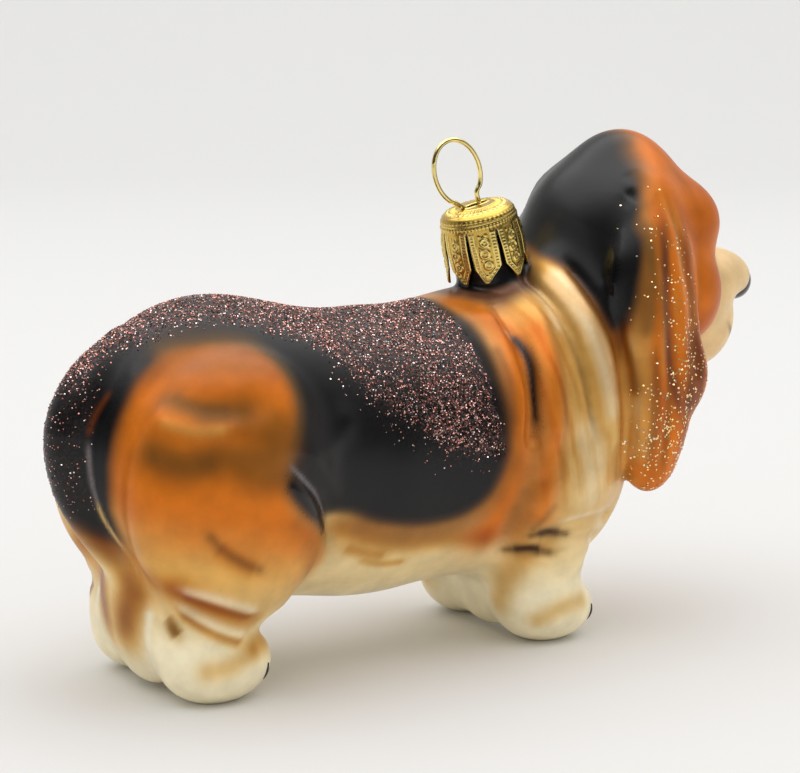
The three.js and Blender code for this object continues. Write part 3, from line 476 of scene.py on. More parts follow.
FOLD_STROKES = [
    # A painted highlight along the ridge between the haunch's dents, painted shade in the groove low on the
    # thigh, and the black at the root of the tail
    (GOLD, 0.45, 0.8, [(-42.6, 13.4, 38.9), (-40, 16.8, 38), (-35.6, 18.6, 38)]),
    (COFFEE, 0.6, 0.8, [(-39.2, 18.6, 25.2), (-36.6, 19, 22.4), (-33.8, 19.2, 20.4), (-30.4, 19.1, 18.8)]),
    (TAN, 0.5, 1.3, [(-37.6, 18.8, 23), (-34.8, 19.1, 20.8), (-32, 19.2, 19.4)]),
    (BLACK, 0.8, 1.6, [(-41.4, 7.2, 46.2), (-44.2, 6.9, 43), (-46.2, 6.4, 38.6)], 0.05, 0.3),
    # The black crescent before the thigh, with a thin pale painted highlight on its lip
    (BLACK, 1, 1.3,
     [(-27.6, 20, 31), (-25.9, 19.8, 28.7), (-23.9, 19.1, 26.5), (-21.7, 17.9, 24.6),
      (-19.9, 16.2, 22.2)], 0, 0.12),
    (ASH, 0.85, 0.32,
     [(-27, 19.8, 32.6), (-24.4, 19.3, 30.2), (-22, 18.5, 27.8), (-20.3, 17.2, 25.2),
      (-18.9, 15.2, 22.8)], 0.1, 0.3),
    # Hind legs: painted shade as brown in the hollow between the legs, above the hock, beside the tail's end
    # and in the creases between the leg's folds, and painted highlights as pale lines on the fold ridges and
    # on the ridge between the feet; brown also over the toes and at the front of the ankle
    (TAN, 1.1, 3.2, [(-43.6, 5, 14.2), (-43.6, 3.6, 11.6), (-42.8, 2.6, 9.4)]),
    (SEPIA, 0.35, 2.2, [(-43.4, 4.8, 14.4), (-43.4, 3.4, 11)]),
    (TAN, 0.7, 2.2, [(-43.8, 6, 19.4), (-43.4, 9.5, 18.6), (-41.6, 13, 17.4)]),
    (TAN, 0.8, 1.6, [(-46.6, 3.2, 22.6), (-45.2, 3, 19.4), (-44, 3.6, 17)]),
    (PEARL, 0.9, 0.9, [(-41.6, 7.6, 13), (-41.8, 7.6, 9.6), (-41, 6.6, 5)]),
    (TAN, 0.8, 2, [(-40.8, 14.6, 17), (-36.6, 16.4, 14), (-31.4, 16.6, 11.6)]),
    (TAN, 1, 0.8, [(-40.8, 14.6, 16.4), (-36.6, 16.8, 14.4), (-31.4, 17.2, 12.4)]),
    (TAN, 1, 0.8, [(-40.4, 13.2, 13.8), (-36.4, 15.4, 10.7), (-32, 14.8, 8.7)]),
    (PEARL, 0.6, 0.7, [(-40.6, 14.6, 17.6), (-36.5, 17.1, 15.9), (-31, 17.6, 13.6)]),
    (PEARL, 0.6, 0.7, [(-40.4, 13.2, 15.1), (-36.4, 15.6, 12.1), (-31.8, 15.1, 9.9)]),
    (SEPIA, 0.9, 0.9, [(-41.4, 11.4, 12.6), (-40.2, 12.8, 10.4)]),
    (TAN, 0.5, 1.4, [(-37, 14.6, 5.6), (-34, 15.3, 6), (-30.8, 14.8, 7.2)]),
    (TAN, 0.8, 1.6, [(-29.6, 14.6, 8), (-27, 12.4, 8.2)]),
    # Forelegs: painted shade as dark lines in the creases of the folds and as brown behind the leg and
    # between the folds, with a pale painted highlight on the lip above a crease; brown also low on the paw
    (BROWN, 0.85, 0.6, [(12.9, 16, 17.1), (16, 17.4, 17.5), (19.6, 17.9, 16.9)]),
    (UMBER, 0.8, 0.85, [(14.4, 16.8, 17.4), (16, 17.4, 17.5), (17.8, 17.7, 17.3)]),
    (BROWN, 0.85, 0.6, [(10.6, 12.6, 14.4), (13.6, 15.3, 15.1), (17.4, 16.8, 14.4)]),
    (UMBER, 0.9, 0.85, [(12, 14, 14.9), (13.8, 15.4, 15.1), (15.4, 16.2, 14.9)]),
    (TAN, 0.45, 1.9, [(12.2, 15.5, 18), (13.6, 15.3, 15.4), (16, 16.8, 15.6)]),
    (BROWN, 0.45, 1.1, [(12.2, 17.2, 25), (11, 16.2, 20.8), (10.6, 14, 16.4)]),
    (BROWN, 0.5, 0.7, [(16.4, 18.2, 22.4), (14.6, 17.4, 19.6), (13.4, 16.4, 17.8)]),
    (TAN, 0.5, 2, [(13.2, 14.2, 13.5), (12.6, 11.5, 10.1), (12.8, 9.5, 6.7)]),
    (TAN, 0.45, 1.4, [(23.6, 14.8, 6.3), (19.3, 15.7, 5.9), (16.4, 14.3, 4.4)]),
    (PEARL, 0.7, 0.5, [(27, 15.6, 19.4), (22, 18.1, 19.7), (17.6, 18.3, 19.2)]),
    # Flank and chest: brown along the lower flank and under the belly is painted shade; honey on the chest
    (TAN, 0.75, 1.9,
     [(-16, 15, 21.6), (-11, 14, 19.6), (-4.9, 13.6, 18.4), (3, 13.4, 18), (7.4, 12.8, 17.4)]),
    (TAN, 0.6, 0.9, [(-15.4, 13.4, 18.8), (-11.6, 13, 17.4), (-8.4, 12.6, 16.8)]),
    (TAN, 0.6, 0.7, [(-12.4, 12.6, 16.2), (-8.4, 12, 15.4), (-4.6, 11.8, 15.4)]),
    (HONEY, 0.5, 2.6, [(24, 18, 21), (24.4, 16.8, 17)]),
    # The black groove beside the tail, with a thin rust line beside it as a painted reflection, and pale
    # lines in ash and honey as a painted highlight along the edge where tail and buttock meet
    (BLACK, 0.9, 0.9,
     [(-40.4, 6.8, 46.6), (-43.2, 6.1, 44.2), (-45.6, 5.2, 41.2), (-47.6, 4.6, 38)], 0, 0.12),
    (RUST, 0.25, 0.4, [(-45.4, 4.9, 42), (-47.3, 4.3, 38.9), (-48.2, 3.9, 36.2)], 0.5, 0.2),
    (ASH, 0.75, 0.34, [(-48.4, 4.2, 35.4), (-48, 4.2, 30.4), (-47, 4.4, 26.6)], 0.2, 0.24),
    (HONEY, 0.8, 0.32, [(-47.2, 4.3, 27.4), (-46.4, 4.5, 25), (-44.4, 5, 21.4), (-42.4, 5.8, 17.3)]),
    # Black in the deep fold behind the shoulder; painted shade as dark lines in the creases between the folds
    # of the neck, and painted highlights as pale lines on their ridges and as a pale band low on the neck
    (BLACK, 1, 0.85,
     [(13.4, 11.4, 45.8), (14.3, 13.1, 43.9), (14.6, 14.6, 41.6), (14.1, 16.4, 37.4),
      (13.7, 17.4, 32)], 0, 0.1),
    (UMBER, 0.5, 0.8, [(9.6, 12.5, 44.4), (10.2, 15.2, 39.4), (9.9, 16.8, 33)], 0.2),
    (BROWN, 0.6, 0.7,
     [(20.3, 3, 52.3), (21.6, 9.6, 48.6), (22.4, 14, 43.5), (23, 16.8, 36.5), (23.6, 17.6, 31)]),
    (BROWN, 0.35, 0.8,
     [(18.9, 10.5, 47), (19, 14, 42.4), (18.4, 16.8, 36.6), (17.8, 18.1, 29.4), (16.6, 18.4, 23)]),
    (PEARL, 0.5, 0.8, [(17.5, 4, 51.8), (20.2, 6.6, 50.6), (20.8, 10, 48.2), (20.6, 13, 44.6)]),
    (PEARL, 0.55, 1.4, [(23.5, 8, 52.3), (25, 12.5, 47), (26.3, 15.4, 41), (27.2, 16.8, 34)]),
    (PLUM, 0.55, 0.8,
     [(25.6, 10, 51), (27.7, 12.8, 47.5), (29.2, 14.6, 42.8), (30.5, 15.7, 37.1), (31.2, 16.2, 30.6),
      (32.2, 13.9, 23)]),
    (AMBER, 0.4, 1.6, [(26.4, 11, 50), (28.2, 13.8, 45.2), (29.8, 15.6, 38.4), (30.4, 16.4, 31)]),
    (PEARL, 0.4, 2.4, [(22.4, 17.6, 31), (23.2, 17.9, 27), (21.8, 18.6, 22.6)]),
]
EAR_STROKES = [
    (PLUM, 0.75, 0.9,
     [(38.4, 12.6, 62), (37, 15.8, 55.6), (36, 17.6, 49.2), (36.2, 18.2, 43.4), (36.8, 18.8, 37.7),
      (38, 18.9, 32)]),
    (PLUM, 0.7, 2.2, [(41.5, 17.5, 43), (41.3, 18.4, 38.4), (40.3, 18.4, 34.3)]),
    (PLUM, 0.5, 0.7, [(41, 13, 60), (42, 16, 52), (41.6, 17.5, 45)]),
    (BROWN, 0.7, 1.4, [(34.6, 14, 59), (34.4, 15.9, 54.8), (33.8, 17, 49.2), (33, 17.2, 45)]),
    (ORANGE, 0.8, 0.7, [(38.2, 12, 61), (38.6, 16.6, 53), (38.2, 18, 45), (38.6, 18.6, 38)]),
    (GOLD, 0.6, 0.6, [(40.6, 10.8, 64.6), (40.2, 14.6, 57), (39.8, 17, 49)]),
    (CREAM, 0.45, 0.6, [(30.6, 15.4, 45), (31.2, 16.8, 38), (31.8, 16.6, 31), (31.9, 15.6, 26)]),
    (ORANGE, 0.8, 2, [(32.6, 16.5, 24.6), (36, 17, 22.8), (38.6, 17.2, 24.8)]),
]


def painted(p):
    """Colour, metal, roughness, glitter and share of ear at each point of the skin, wrinkles left out."""
    p = p - slope(smooth_hound, p) * smooth_hound(*p.T)[:, None]
    x, y, z = p.T
    side = np.abs(y)
    wobble = ripple(x, y, z, 4.2, 0.6)
    fine = ripple(x, y, z, 1.6, 2.1)
    colour = np.tile(np.array(CREAM), (len(p), 1))
    metal = np.full(len(p), 0.15)
    rough = np.full(len(p), 0.36)

    def spray(paint, amount, metallic=None, roughness=None):
        amount = np.clip(amount, 0, 1)
        colour[:] = colour * (1 - amount[:, None]) + np.array(paint) * amount[:, None]
        if metallic is not None:
            metal[:] = metal * (1 - amount) + metallic * amount
        if roughness is not None:
            rough[:] = rough * (1 - amount) + roughness * amount

    def stain(lacquer, amount):
        colour[:] = colour * np.array(lacquer) ** amount[:, None]

    def stroke(paint, amount, width, line, metallic=None, roughness=None):
        cover = amount * near_line(x, side, z, line, width)
        if paint in THIN_LACQUERS:
            stain(paint, cover)
        else:
            spray(paint, cover, metallic, roughness)

    on_ear = soft(1.3, 0.25, ear(x, y, z)) * soft(1.0, 3.0, side)

    # Pearl on the paws and legs, honey above them
    spray(HONEY, 0.8 * soft(15, 22, z))
    spray(PEARL, 0.9 * soft(14, 7, z))
    # Gold over the neck, thin towards the chest
    thin = 0.45 * soft(23, 32, x) * soft(46, 30, z)
    spray(GOLD, 0.9 * soft(11, 17, x) * soft(19, 34, z + 0.4 * (x - 20)) * (1 - thin), 0.45, 0.36)
    spray(HONEY, 0.7 * soft(9, 13, x) * soft(12, 19, z) * soft(30, 24, z), 0.4)
    # Orange behind the shoulder and down the flank's front, with painted shade in the shoulder's fold and a
    # pale painted highlight on the fold's lip
    for coat in SHOULDER_STROKES:
        stroke(*coat)
    # The saddle, tail and rump
    saddle = off_outline(x, z, SADDLE) + 0.5 * wobble
    flank = soft(14, 17, z) * soft(36, 27, z) * soft(-22, -12, x) * soft(9, 13, side)
    spray(AMBER, 0.8 * soft(4.6, 0.5, saddle) * flank, 0.25)
    spray(AMBER, 0.9 * soft(4.4, 0.4, saddle) * soft(14, 17, z) * soft(-36, -42, x), 0.25)
    spray(BROWN, 0.45 * soft(4.6, 0.8, saddle) * soft(42, 47, z) * soft(-6, 2, x), 0.2)
    spray(UMBER, 0.8 * soft(1.4, -0.5, saddle), 0.2)
    spray(BLACK, soft(1.2, -1.2, saddle), 0.0, 0.33)
    # The haunch: orange inside the black, cream below
    haunch = off_outline(x, z, HAUNCH) + 0.5 * wobble
    across = ASKEW[0] * x + ASKEW[1] * side
    on_thigh = soft(-1.4, 1.4, across - np.interp(z, *HAUNCH_BACK) + 0.4 * wobble)
    inside = soft(0.8, -2.6, haunch) * on_thigh
    spray(BROWN, 0.9 * soft(2.6, -1.0, haunch) * on_thigh * soft(17, 22, z), 0.2)
    spray(HONEY, 0.9 * inside * soft(24, 18, z) * soft(11, 15, z), 0.3)
    spray(MARIGOLD, 0.85 * inside * soft(14, 19, z) * soft(30, 25, z), 0.35)
    spray(ORANGE, inside * soft(15.5, 27, z + 0.25 * (x + 33) + 0.6 * fine), 0.3, 0.4)
    spray(RUST, 0.6 * inside * soft(40, 46, z + 0.8 * fine), 0.3)
    # Painted dark reflections and shade in the haunch's dents
    for coat in DENT_SHADE_STROKES:
        stroke(*coat)
    spray(BROWN, 0.55 * inside * soft(42, 46, z), 0.2)
    # The left haunch is paler behind
    spray(HONEY, 0.9 * soft(0, 4, y) * soft(-40, -43.5, x) * soft(29, 24, z) * soft(11, 15, z), 0.3)
    # Airbrushed lines in the folds: painted shade in their hollows and creases, painted highlights on their
    # ridges and lips
    for coat in FOLD_STROKES:
        stroke(*coat)
    # Streaks down the folds of the neck
    fold = x + 0.10 * (z - 36) + 0.45 * np.maximum(z - 45, 0)
    strand = np.sin(2.1 * fold + 1.6 * np.sin(0.19 * z) + 0.9 * fine)
    strand += 0.3 * np.sin(4.7 * fold + 2.2 * np.sin(0.27 * z + 1))
    on_neck = soft(15.5, 18, x) * soft(33, 30, x) * soft(18, 29, z) * soft(55, 51, z)
    stain(TAN, 0.19 * on_neck * soft(-0.4, 1.3, strand))
    stain(TAN, 0.2 * soft(12, 14, x) * soft(21, 19, x) * soft(19, 27, z) * soft(-0.4, 1.2, strand))
    # Head: black behind, orange-brown in front
    low_edge = np.interp(side, *NAPE_EDGE)
    head = soft(low_edge - 1.4, low_edge + 1.4, 0.64 * x + 0.77 * z + 0.6 * wobble)
    front = x - np.interp(z, *BLACK_FRONT) + 0.4 * fine
    spray(ORANGE, head, 0.3, 0.38)
    spray(RUST, head * (0.45 + 0.35 * fine) * soft(0, 8, front), 0.3)
    stroke(AMBER, 0.6, 0.9, [(41.5, 3.5, 70.4), (44, 6, 67.4), (46.4, 8.4, 63.6), (47, 10, 59.6)])
    # Muzzle, blaze, mouth and upper lids
    on_muzzle = soft(1.4, -0.6, muzzle(x, y, z)) * soft(49.5, 52.5, x + 0.35 * (50 - z))
    spray(CREAM, on_muzzle, 0.2, 0.34)
    spray(HONEY, 0.15 * on_muzzle * soft(56, 51, x), 0.2)
    spray(CREAM, head * soft(2.6, 1.4, side - 0.1 * (z - 56)) * soft(45, 49, x), 0.2, 0.34)
    stroke(UMBER, 0.9, 0.42, MOUTH)
    stroke(UMBER, 0.8, 0.45, UPPER_LID)
    # Ears
    spray(ORANGE, on_ear, 0.3, 0.36)
    streak = ripple(x * 3.2, y, z * 0.35, 2.4, 1.1)
    thread = ripple(x * 3.6, y * 0.6, z * 0.22, 1.2, 2.7)
    spray(RUST, 0.75 * on_ear * soft(-0.3, 0.6, streak), 0.3)
    spray(GOLD, 0.75 * on_ear * soft(34.6, 31.6, x) * soft(49, 41, z), 0.45)
    spray(GOLD, 0.35 * on_ear * soft(0.1, 0.7, thread), 0.4)
    spray(BROWN, 0.45 * on_ear * soft(-0.1, -0.7, thread), 0.3)
    for paint, amount, width, line in EAR_STROKES:
        spray(paint, amount * on_ear * near_line(x, side, z, line, width), 0.25)
    # Black over the back of the head and the upper ear, hazy at its edges
    blurred = 0.9 + 1.3 * soft(62, 70, z)
    dark = np.maximum(head, on_ear * soft(43, 50, z))
    spray(BROWN, 0.85 * dark * soft(3.6, -0.4, front) * soft(40, 46, z), 0.2)
    stroke(SEPIA, 0.7, 1.0, [(30.6, 15, 47.5), (30.2, 14.8, 44), (31, 16.2, 39.6), (31.4, 16.8, 35)])
    spray(BLACK, dark * soft(1, -1, front / blurred), 0.0, 0.34)
    stroke(BLACK, 1.0, 0.75, BEHIND_EAR, 0.0, 0.06)
    # The stem and the foot of the cap
    u, v, w = in_cap_frame(x, y, z)
    spray(PLUM, 0.9 * soft(9.5, 6.0, np.hypot(u + 1.5, v)) * soft(-16, -12.5, w), 0.2, 0.35)
    spray(BLACK, soft(6.4, 5.6, np.hypot(u, v)) * soft(-11.6, -10.2, w), 0.05, 0.3)
    glitter = np.clip(flake_rate(p) / BACK_RATE, 0, 1)
    return colour, metal, rough, glitter, on_ear


# Mesh helpers
def linked(name, data):
    made = bpy.data.objects.new(name, data)
    bpy.context.scene.collection.objects.link(made)
    return made


def new_object(name, points, facets, smooth=True):
    mesh = bpy.data.meshes.new(name)
    placed = np.asarray(points, float) * MM
    placed[:, 0] += SHIFT * MM
    mesh.from_pydata(placed.tolist(), [], [list(f) for f in facets])
    mesh.update()
    if smooth:
        mesh.polygons.foreach_set("use_smooth", [True] * len(mesh.polygons))
    return linked(name, mesh)


def ring_facets(rings, sides, first=0):
    """Four-sided facets between closed rings of points, one ring after the other."""
    made = []
    for i in range(rings - 1):
        a, b = first + i * sides, first + (i + 1) * sides
        for j in range(sides):
            k = (j + 1) % sides
            made.append((a + j, b + j, b + k, a + k))
    return made


def paint_attribute(piece, name, values):
    values = np.asarray(values, np.float32)
    if values.ndim == 1:
        values = np.repeat(values[:, None], 3, 1)
    layer = piece.data.color_attributes.new(name, "FLOAT_COLOR", "POINT")
    with_alpha = np.column_stack([values, np.ones(len(values))]).astype(np.float32)
    layer.data.foreach_set("color", with_alpha.ravel())


class Nodes:
    """The node tree of a material or a world, with short calls to add and join its nodes."""

    def __init__(self, owner, shader="Principled BSDF"):
        self.owner = owner
        owner.use_nodes = True
        self.tree = owner.node_tree
        self.shader = self.tree.nodes[shader]

    def feed(self, socket, value):
        if isinstance(value, bpy.types.NodeSocket):
            self.tree.links.new(value, socket)
        elif socket.type == "RGBA":
            socket.default_value = (*value, 1.0)
        else:
            socket.default_value = value

    def add(self, kind, inputs=(), **settings):
        node = self.tree.nodes.new("ShaderNode" + kind)
        for key, value in settings.items():
            setattr(node, key, value)
        for key, value in dict(inputs).items():
            self.feed(node.inputs[key], value)
        return node

    def math(self, operation, a, b):
        return self.add("Math", {0: a, 1: b}, operation=operation).outputs[0]

    def mix(self, amount, a, b, blend_type="MIX"):
        return self.add("Mix", {0: amount, 6: a, 7: b}, data_type="RGBA", blend_type=blend_type).outputs[2]

    def shaded(self, colour, shade):
        """The colour made lighter or darker by a grey."""
        grey = self.add("CombineColor", {0: shade, 1: shade, 2: shade}).outputs[0]
        return self.mix(1.0, colour, grey, "MULTIPLY")

    def held(self, name, output="Fac"):
        """What the mesh holds at its points under this name."""
        return self.add("Attribute", attribute_name=name, attribute_type="GEOMETRY").outputs[output]

    def noise(self, scale, detail=3.0):
        where = self.add("TexCoord").outputs["Object"]
        return self.add("TexNoise", {"Vector": where, "Scale": scale, "Detail": detail}).outputs[0]

    def ramp(self, value, low, high, to_low=0.0, to_high=1.0):
        inputs = {"Value": value, "From Min": low, "From Max": high, "To Min": to_low, "To Max": to_high}
        return self.add("MapRange", inputs).outputs[0]

    def bump(self, height, distance, strength):
        node = self.add("Bump", {"Height": height, "Distance": distance, "Strength": strength})
        self.feed(self.shader.inputs["Normal"], node.outputs[0])

    def set(self, **inputs):
        for key, value in inputs.items():
            self.feed(self.shader.inputs[key.replace("_", " ")], value)


def new_material(name):
    return Nodes(bpy.data.materials.new(name))


def glass_material():
    n = new_material("painted_glass")
    glitter = n.held("glitter")
    cloud = n.noise(260.0, 4.0)
    tinted = n.shaded(n.held("paint", "Color"), n.ramp(cloud, 0.25, 0.75, 0.86, 1.12))
    # Glitter too fine for flakes of its own
    where = n.add("TexCoord").outputs["Object"]
    cells = n.add("TexVoronoi", {"Vector": where, "Scale": 3600.0, "Randomness": 1.0})
    lit = n.add("SeparateColor", {0: cells.outputs["Color"]})
    dust = n.math("MULTIPLY", n.ramp(lit.outputs[0], 0.35, 0.6), glitter)
    copper = n.mix(lit.outputs[1], (0.02, 0.011, 0.010), (0.15, 0.085, 0.075))
    grain = n.ramp(n.noise(2600.0, 2.0), 0.3, 0.7, -0.03, 0.05)
    n.set(Base_Color=n.mix(dust, tinted, copper), Metallic=n.held("metal"))
    n.set(Roughness=n.math("ADD", n.held("rough"), grain))
    n.set(Coat_Weight=0.03, Coat_Roughness=0.2, IOR=1.36)
    speckle = n.math("MULTIPLY", lit.outputs[2], n.math("MULTIPLY", glitter, 0.9))
    n.bump(n.math("ADD", n.math("MULTIPLY", cloud, 0.6), speckle), 0.00012, 0.6)
    return n.owner


points, facets = skin_mesh(*SEARCH_BOX)
points = onto_skin(points)
skin = new_object("painted_glass_hound", points, facets)
colour, metal, rough, glitter, on_ear = painted(points)
for name, values in {"paint": colour, "metal": metal, "rough": rough, "glitter": glitter}.items():
    paint_attribute(skin, name, values)
skin.data.materials.append(glass_material())
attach(skin, "root")
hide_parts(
    "head", "muzzle", "neck", "shoulders", "barrel", "rump", "tail", "pike",
    *(f"{side}_{name}" for side in ("left", "right")
      for name in ("ear", "foreleg", "forepaw", "thigh", "hind_paw")),
)

# Cap
CAP_SHOULDER = [(4.75, -0.02), (5.05, -0.2), (5.3, -0.6), (5.42, -1.1), (5.52, -1.6), (5.62, -2.1)]
CAP_BAND = 2.1
CAP_FLARE = 0.28
CAP_HEIGHT = 9.8
CAP_DOME = 0.5
CAP_SHEET = 0.28
TINES = 8
TINE_SLIT = (0.22, 0.75)
TINE_POINT = 2.3
TINE_COLUMNS = 32
TINE_ROWS = 56
# Stamped on each tine: rings round a dot, and dots, by place across and down it
TINE_RINGS = ((0.12, 1.7, 0.5), (-0.12, 3.3, 0.58), (0.08, 5.0, 0.5))
TINE_DOTS = ((-0.6, 2.5), (0.6, 2.4), (0.6, 4.1), (-0.6, 4.2), (0, 6.3), (-0.55, 0.75), (0.5, 0.7), (0, 0.95))
TINE_RELIEF = 0.2
SLOT_HALF = (1.95, 0.75)
LOOP_TURN = -5.0
LOOP_LEAN = 24.0


def leaned(points, lean):
    """Points about the cap's top, put in the hound's frame."""
    x, y, z = np.asarray(points, float).T
    cos, sin = math.cos(math.radians(lean)), math.sin(math.radians(lean))
    return np.stack([CAP_TOP[0] + x * cos - z * sin, y, CAP_TOP[2] + x * sin + z * cos], 1)


def bell(v, middle, width):
    return np.exp(-(((v - middle) / width) ** 2))


def cap_piece():
    """The stamped cap: a domed top round the wire's slot, a band, and pointed tines with scrolls."""
    columns = TINES * TINE_COLUMNS
    pitch = 2 * math.pi / TINES
    turn = math.radians(CAP_TURN) + np.arange(columns + 1) * 2 * math.pi / columns
    rows = []
    relief = []
    # Top, from the slot to the edge
    off_slot = turn - math.radians(LOOP_TURN)
    off_slot = [np.cos(off_slot) / SLOT_HALF[0], np.sin(off_slot) / SLOT_HALF[1]]
    slot_r = (off_slot[0] ** 4 + off_slot[1] ** 4) ** -0.25
    edge_r = CAP_SHOULDER[0][0]
    for t in np.linspace(0, 1, 30)[:-1]:
        r = slot_r + (edge_r - slot_r) * t
        beads = 0.16 * bell(r, 4.2, 0.2) * (0.5 + 0.5 * np.cos(34 * turn))
        flutes = 0.09 * bell(r, 3.35, 0.4) * np.cos(40 * turn)
        rings = 0.09 * (bell(r, 2.65, 0.12) + bell(r, 3.9, 0.1)) + 0.08 * bell(r, 4.58, 0.1)
        lift = beads + flutes + rings + 0.12 * bell(r - slot_r, 0, 0.25)
        dome = CAP_DOME * (1 - soft(2.2, 5.2, r))
        rows.append(np.stack([r * np.cos(turn), r * np.sin(turn), dome + lift], 1))
        relief.append(lift)
    # Shoulder and band
    shoulder = smooth_line([(r, 0, z) for r, z in CAP_SHOULDER], 6)[:, [0, 2]]
    runs = np.gradient(shoulder, axis=0)
    outward = np.stack([-runs[:, 1], runs[:, 0]], 1) / np.linalg.norm(runs, axis=1)[:, None]
    for (r, z), (nr, nz) in zip(shoulder, outward):
        beads = 0.14 * bell(z, -1.65, 0.22) * (0.5 + 0.5 * np.cos(64 * turn))
        dots = 0.08 * bell(z, -0.75, 0.16) * (0.5 + 0.5 * np.cos(48 * turn))
        lift = beads + dots + 0.07 * bell(z, -1.15, 0.1)
        raised = r + lift * nr
        rows.append(np.stack([raised * np.cos(turn), raised * np.sin(turn), z + lift * nz], 1))
        relief.append(lift)
    points = [row[:-1] for row in rows]
    facets = ring_facets(len(rows), columns)
    height = [row[:-1] for row in relief]
    band_row = (len(rows) - 1) * columns
    count = len(rows) * columns
    # Tines, each hanging from its share of the band's last row
    down = np.linspace(0, CAP_HEIGHT - CAP_BAND, TINE_ROWS)
    across = np.linspace(-1, 1, TINE_COLUMNS + 1)
    skirt = CAP_SHOULDER[-1][0]
    for tine in range(TINES):
        middle = math.radians(CAP_TURN) + (tine + 0.5) * pitch
        bent = 0.3 * math.sin(2.4 * tine + 0.7)
        tip = 0.4 * math.cos(1.7 * tine + 0.4)
        last = [band_row + (tine * TINE_COLUMNS + j) % columns for j in range(TINE_COLUMNS + 1)]
        for v in down[1:]:
            share = v / down[-1]
            slit = (TINE_SLIT[0] + (TINE_SLIT[1] - TINE_SLIT[0]) * share) * soft(0, 0.3, v)
            full = (skirt * pitch - slit) / 2
            pointed = np.clip((v - (down[-1] - TINE_POINT)) / TINE_POINT, 0, 1)
            half = full * (1 - 0.86 * pointed)
            u = across * half + tip * full * pointed
            to_edge = half - np.abs(across * half)
            to_tip = (down[-1] - v) * 0.72
            edge = np.minimum(to_edge, to_tip)
            ribs = 0.15 * bell(edge, 0.2, 0.11) + 0.12 * bell(edge, 0.82, 0.1)
            beads = 0.17 * bell(edge, 0.52, 0.13) * (0.5 + 0.5 * np.cos(2 * math.pi * v / 0.46))
            scroll = 0.0
            for ring_u, ring_v, ring_r in TINE_RINGS:
                away = np.hypot(u - ring_u, v - ring_v)
                scroll = scroll + 0.2 * bell(away, ring_r, 0.13) + 0.16 * bell(away, 0, 0.17)
            for dot_u, dot_v in TINE_DOTS:
                scroll = scroll + 0.15 * bell(np.hypot(u - dot_u, v - dot_v), 0, 0.16)
            lift = (ribs + beads + scroll * soft(0.75, 1.0, edge)) * soft(0, 0.4, v)
            r = skirt + lift + CAP_FLARE * soft(0, 0.4, share) - 0.1 * share + bent * share * share
            angle = middle + u / skirt
            row = np.stack([r * np.cos(angle), r * np.sin(angle), np.full(u.shape, -CAP_BAND - v)], 1)
            this = list(range(count, count + TINE_COLUMNS + 1))
            points.append(row)
            height.append(lift)
            facets += [(last[j], this[j], this[j + 1], last[j + 1]) for j in range(TINE_COLUMNS)]
            count += TINE_COLUMNS + 1
            last = this
    made = new_object("stamped_cap", leaned(np.concatenate(points), CAP_LEAN), facets)
    paint_attribute(made, "relief", np.concatenate(height) / TINE_RELIEF)
    sheet = made.modifiers.new("sheet", "SOLIDIFY")
    sheet.thickness = CAP_SHEET * MM
    sheet.offset = -1
    return made


def tube(points, radii, sides=16):
    """A closed round rod along the points."""
    p = np.asarray(points, float)
    run = np.gradient(p, axis=0)
    run /= np.linalg.norm(run, axis=1)[:, None]
    across = np.cross(run[0], (0.3, 1, 0.2))
    turn = np.arange(sides) * 2 * math.pi / sides
    made = []
    for i, way in enumerate(run):
        across = across - way * (across @ way)
        across /= np.linalg.norm(across)
        other = np.cross(way, across)
        made.append(p[i] + radii[i] * (np.cos(turn)[:, None] * across + np.sin(turn)[:, None] * other))
    facets = [(a, d, c, b) for a, b, c, d in ring_facets(len(p), sides)]
    facets.append(tuple(range(sides))[::-1])
    facets.append(tuple(range((len(p) - 1) * sides, len(p) * sides)))
    return np.concatenate(made), facets


def joined_shapes(shapes):
    """Several shapes as one list of points and facets."""
    points, facets, count = [], [], 0
    for p, f in shapes:
        points.append(p)
        facets += [tuple(n + count for n in facet) for facet in f]
        count += len(p)
    return np.concatenate(points), facets


LOOP_HALF = (3.6, 4.8)
LOOP_OFF = -0.8
LOOP_RISE = 1.3
LOOP_LEGS = 0.8
LOOP_LEG_LENGTH = 2.6
LOOP_OPENING = 28.0
WIRE_R = 0.35


def loop_piece():
    opening = math.radians(LOOP_OPENING)
    legs = [-LOOP_LEG_LENGTH, -LOOP_LEG_LENGTH / 2, -LOOP_RISE / 2]
    path = [(-LOOP_LEGS, 0, z) for z in legs]
    for angle in np.linspace(opening, 2 * math.pi - opening, 15):
        across = LOOP_OFF - LOOP_HALF[0] * math.sin(angle)
        path.append((across, 0, LOOP_RISE + LOOP_HALF[1] * (1 - math.cos(angle))))
    path += [(LOOP_LEGS, 0, z) for z in legs[::-1]]
    x, y, z = smooth_line(path, 10).T
    turn = math.radians(LOOP_TURN)
    turned = np.stack([x * math.cos(turn), x * math.sin(turn), z], 1)
    points, facets = tube(leaned(turned, LOOP_LEAN), np.full(len(turned), WIRE_R), 20)
    return new_object("wire_loop", points, facets)


# Darker gilt laid between the stamped lines is painted shade in the cap's hollows
GILT_SHADE = (0.62, 0.41, 0.09)  # the gilt between the raised lines


def gilt(name, colour, roughness, relief):
    n = new_material(name)
    tone = n.shaded(colour, n.ramp(n.noise(420.0, 4.0), 0.3, 0.75, 0.82, 1.08))
    if relief:
        # Painted shade: the gilt darkens where the stamping's relief is low
        lit = n.ramp(n.held("relief"), 0.02, 0.6)
        tone = n.mix(lit, GILT_SHADE, tone)
    uneven = n.ramp(n.noise(900.0, 3.0), 0.3, 0.7, roughness - 0.06, roughness + 0.08)
    n.set(Base_Color=tone, Metallic=1.0, Roughness=uneven)
    n.bump(n.noise(1400.0, 3.0), 0.00005, 0.5)
    return n.owner


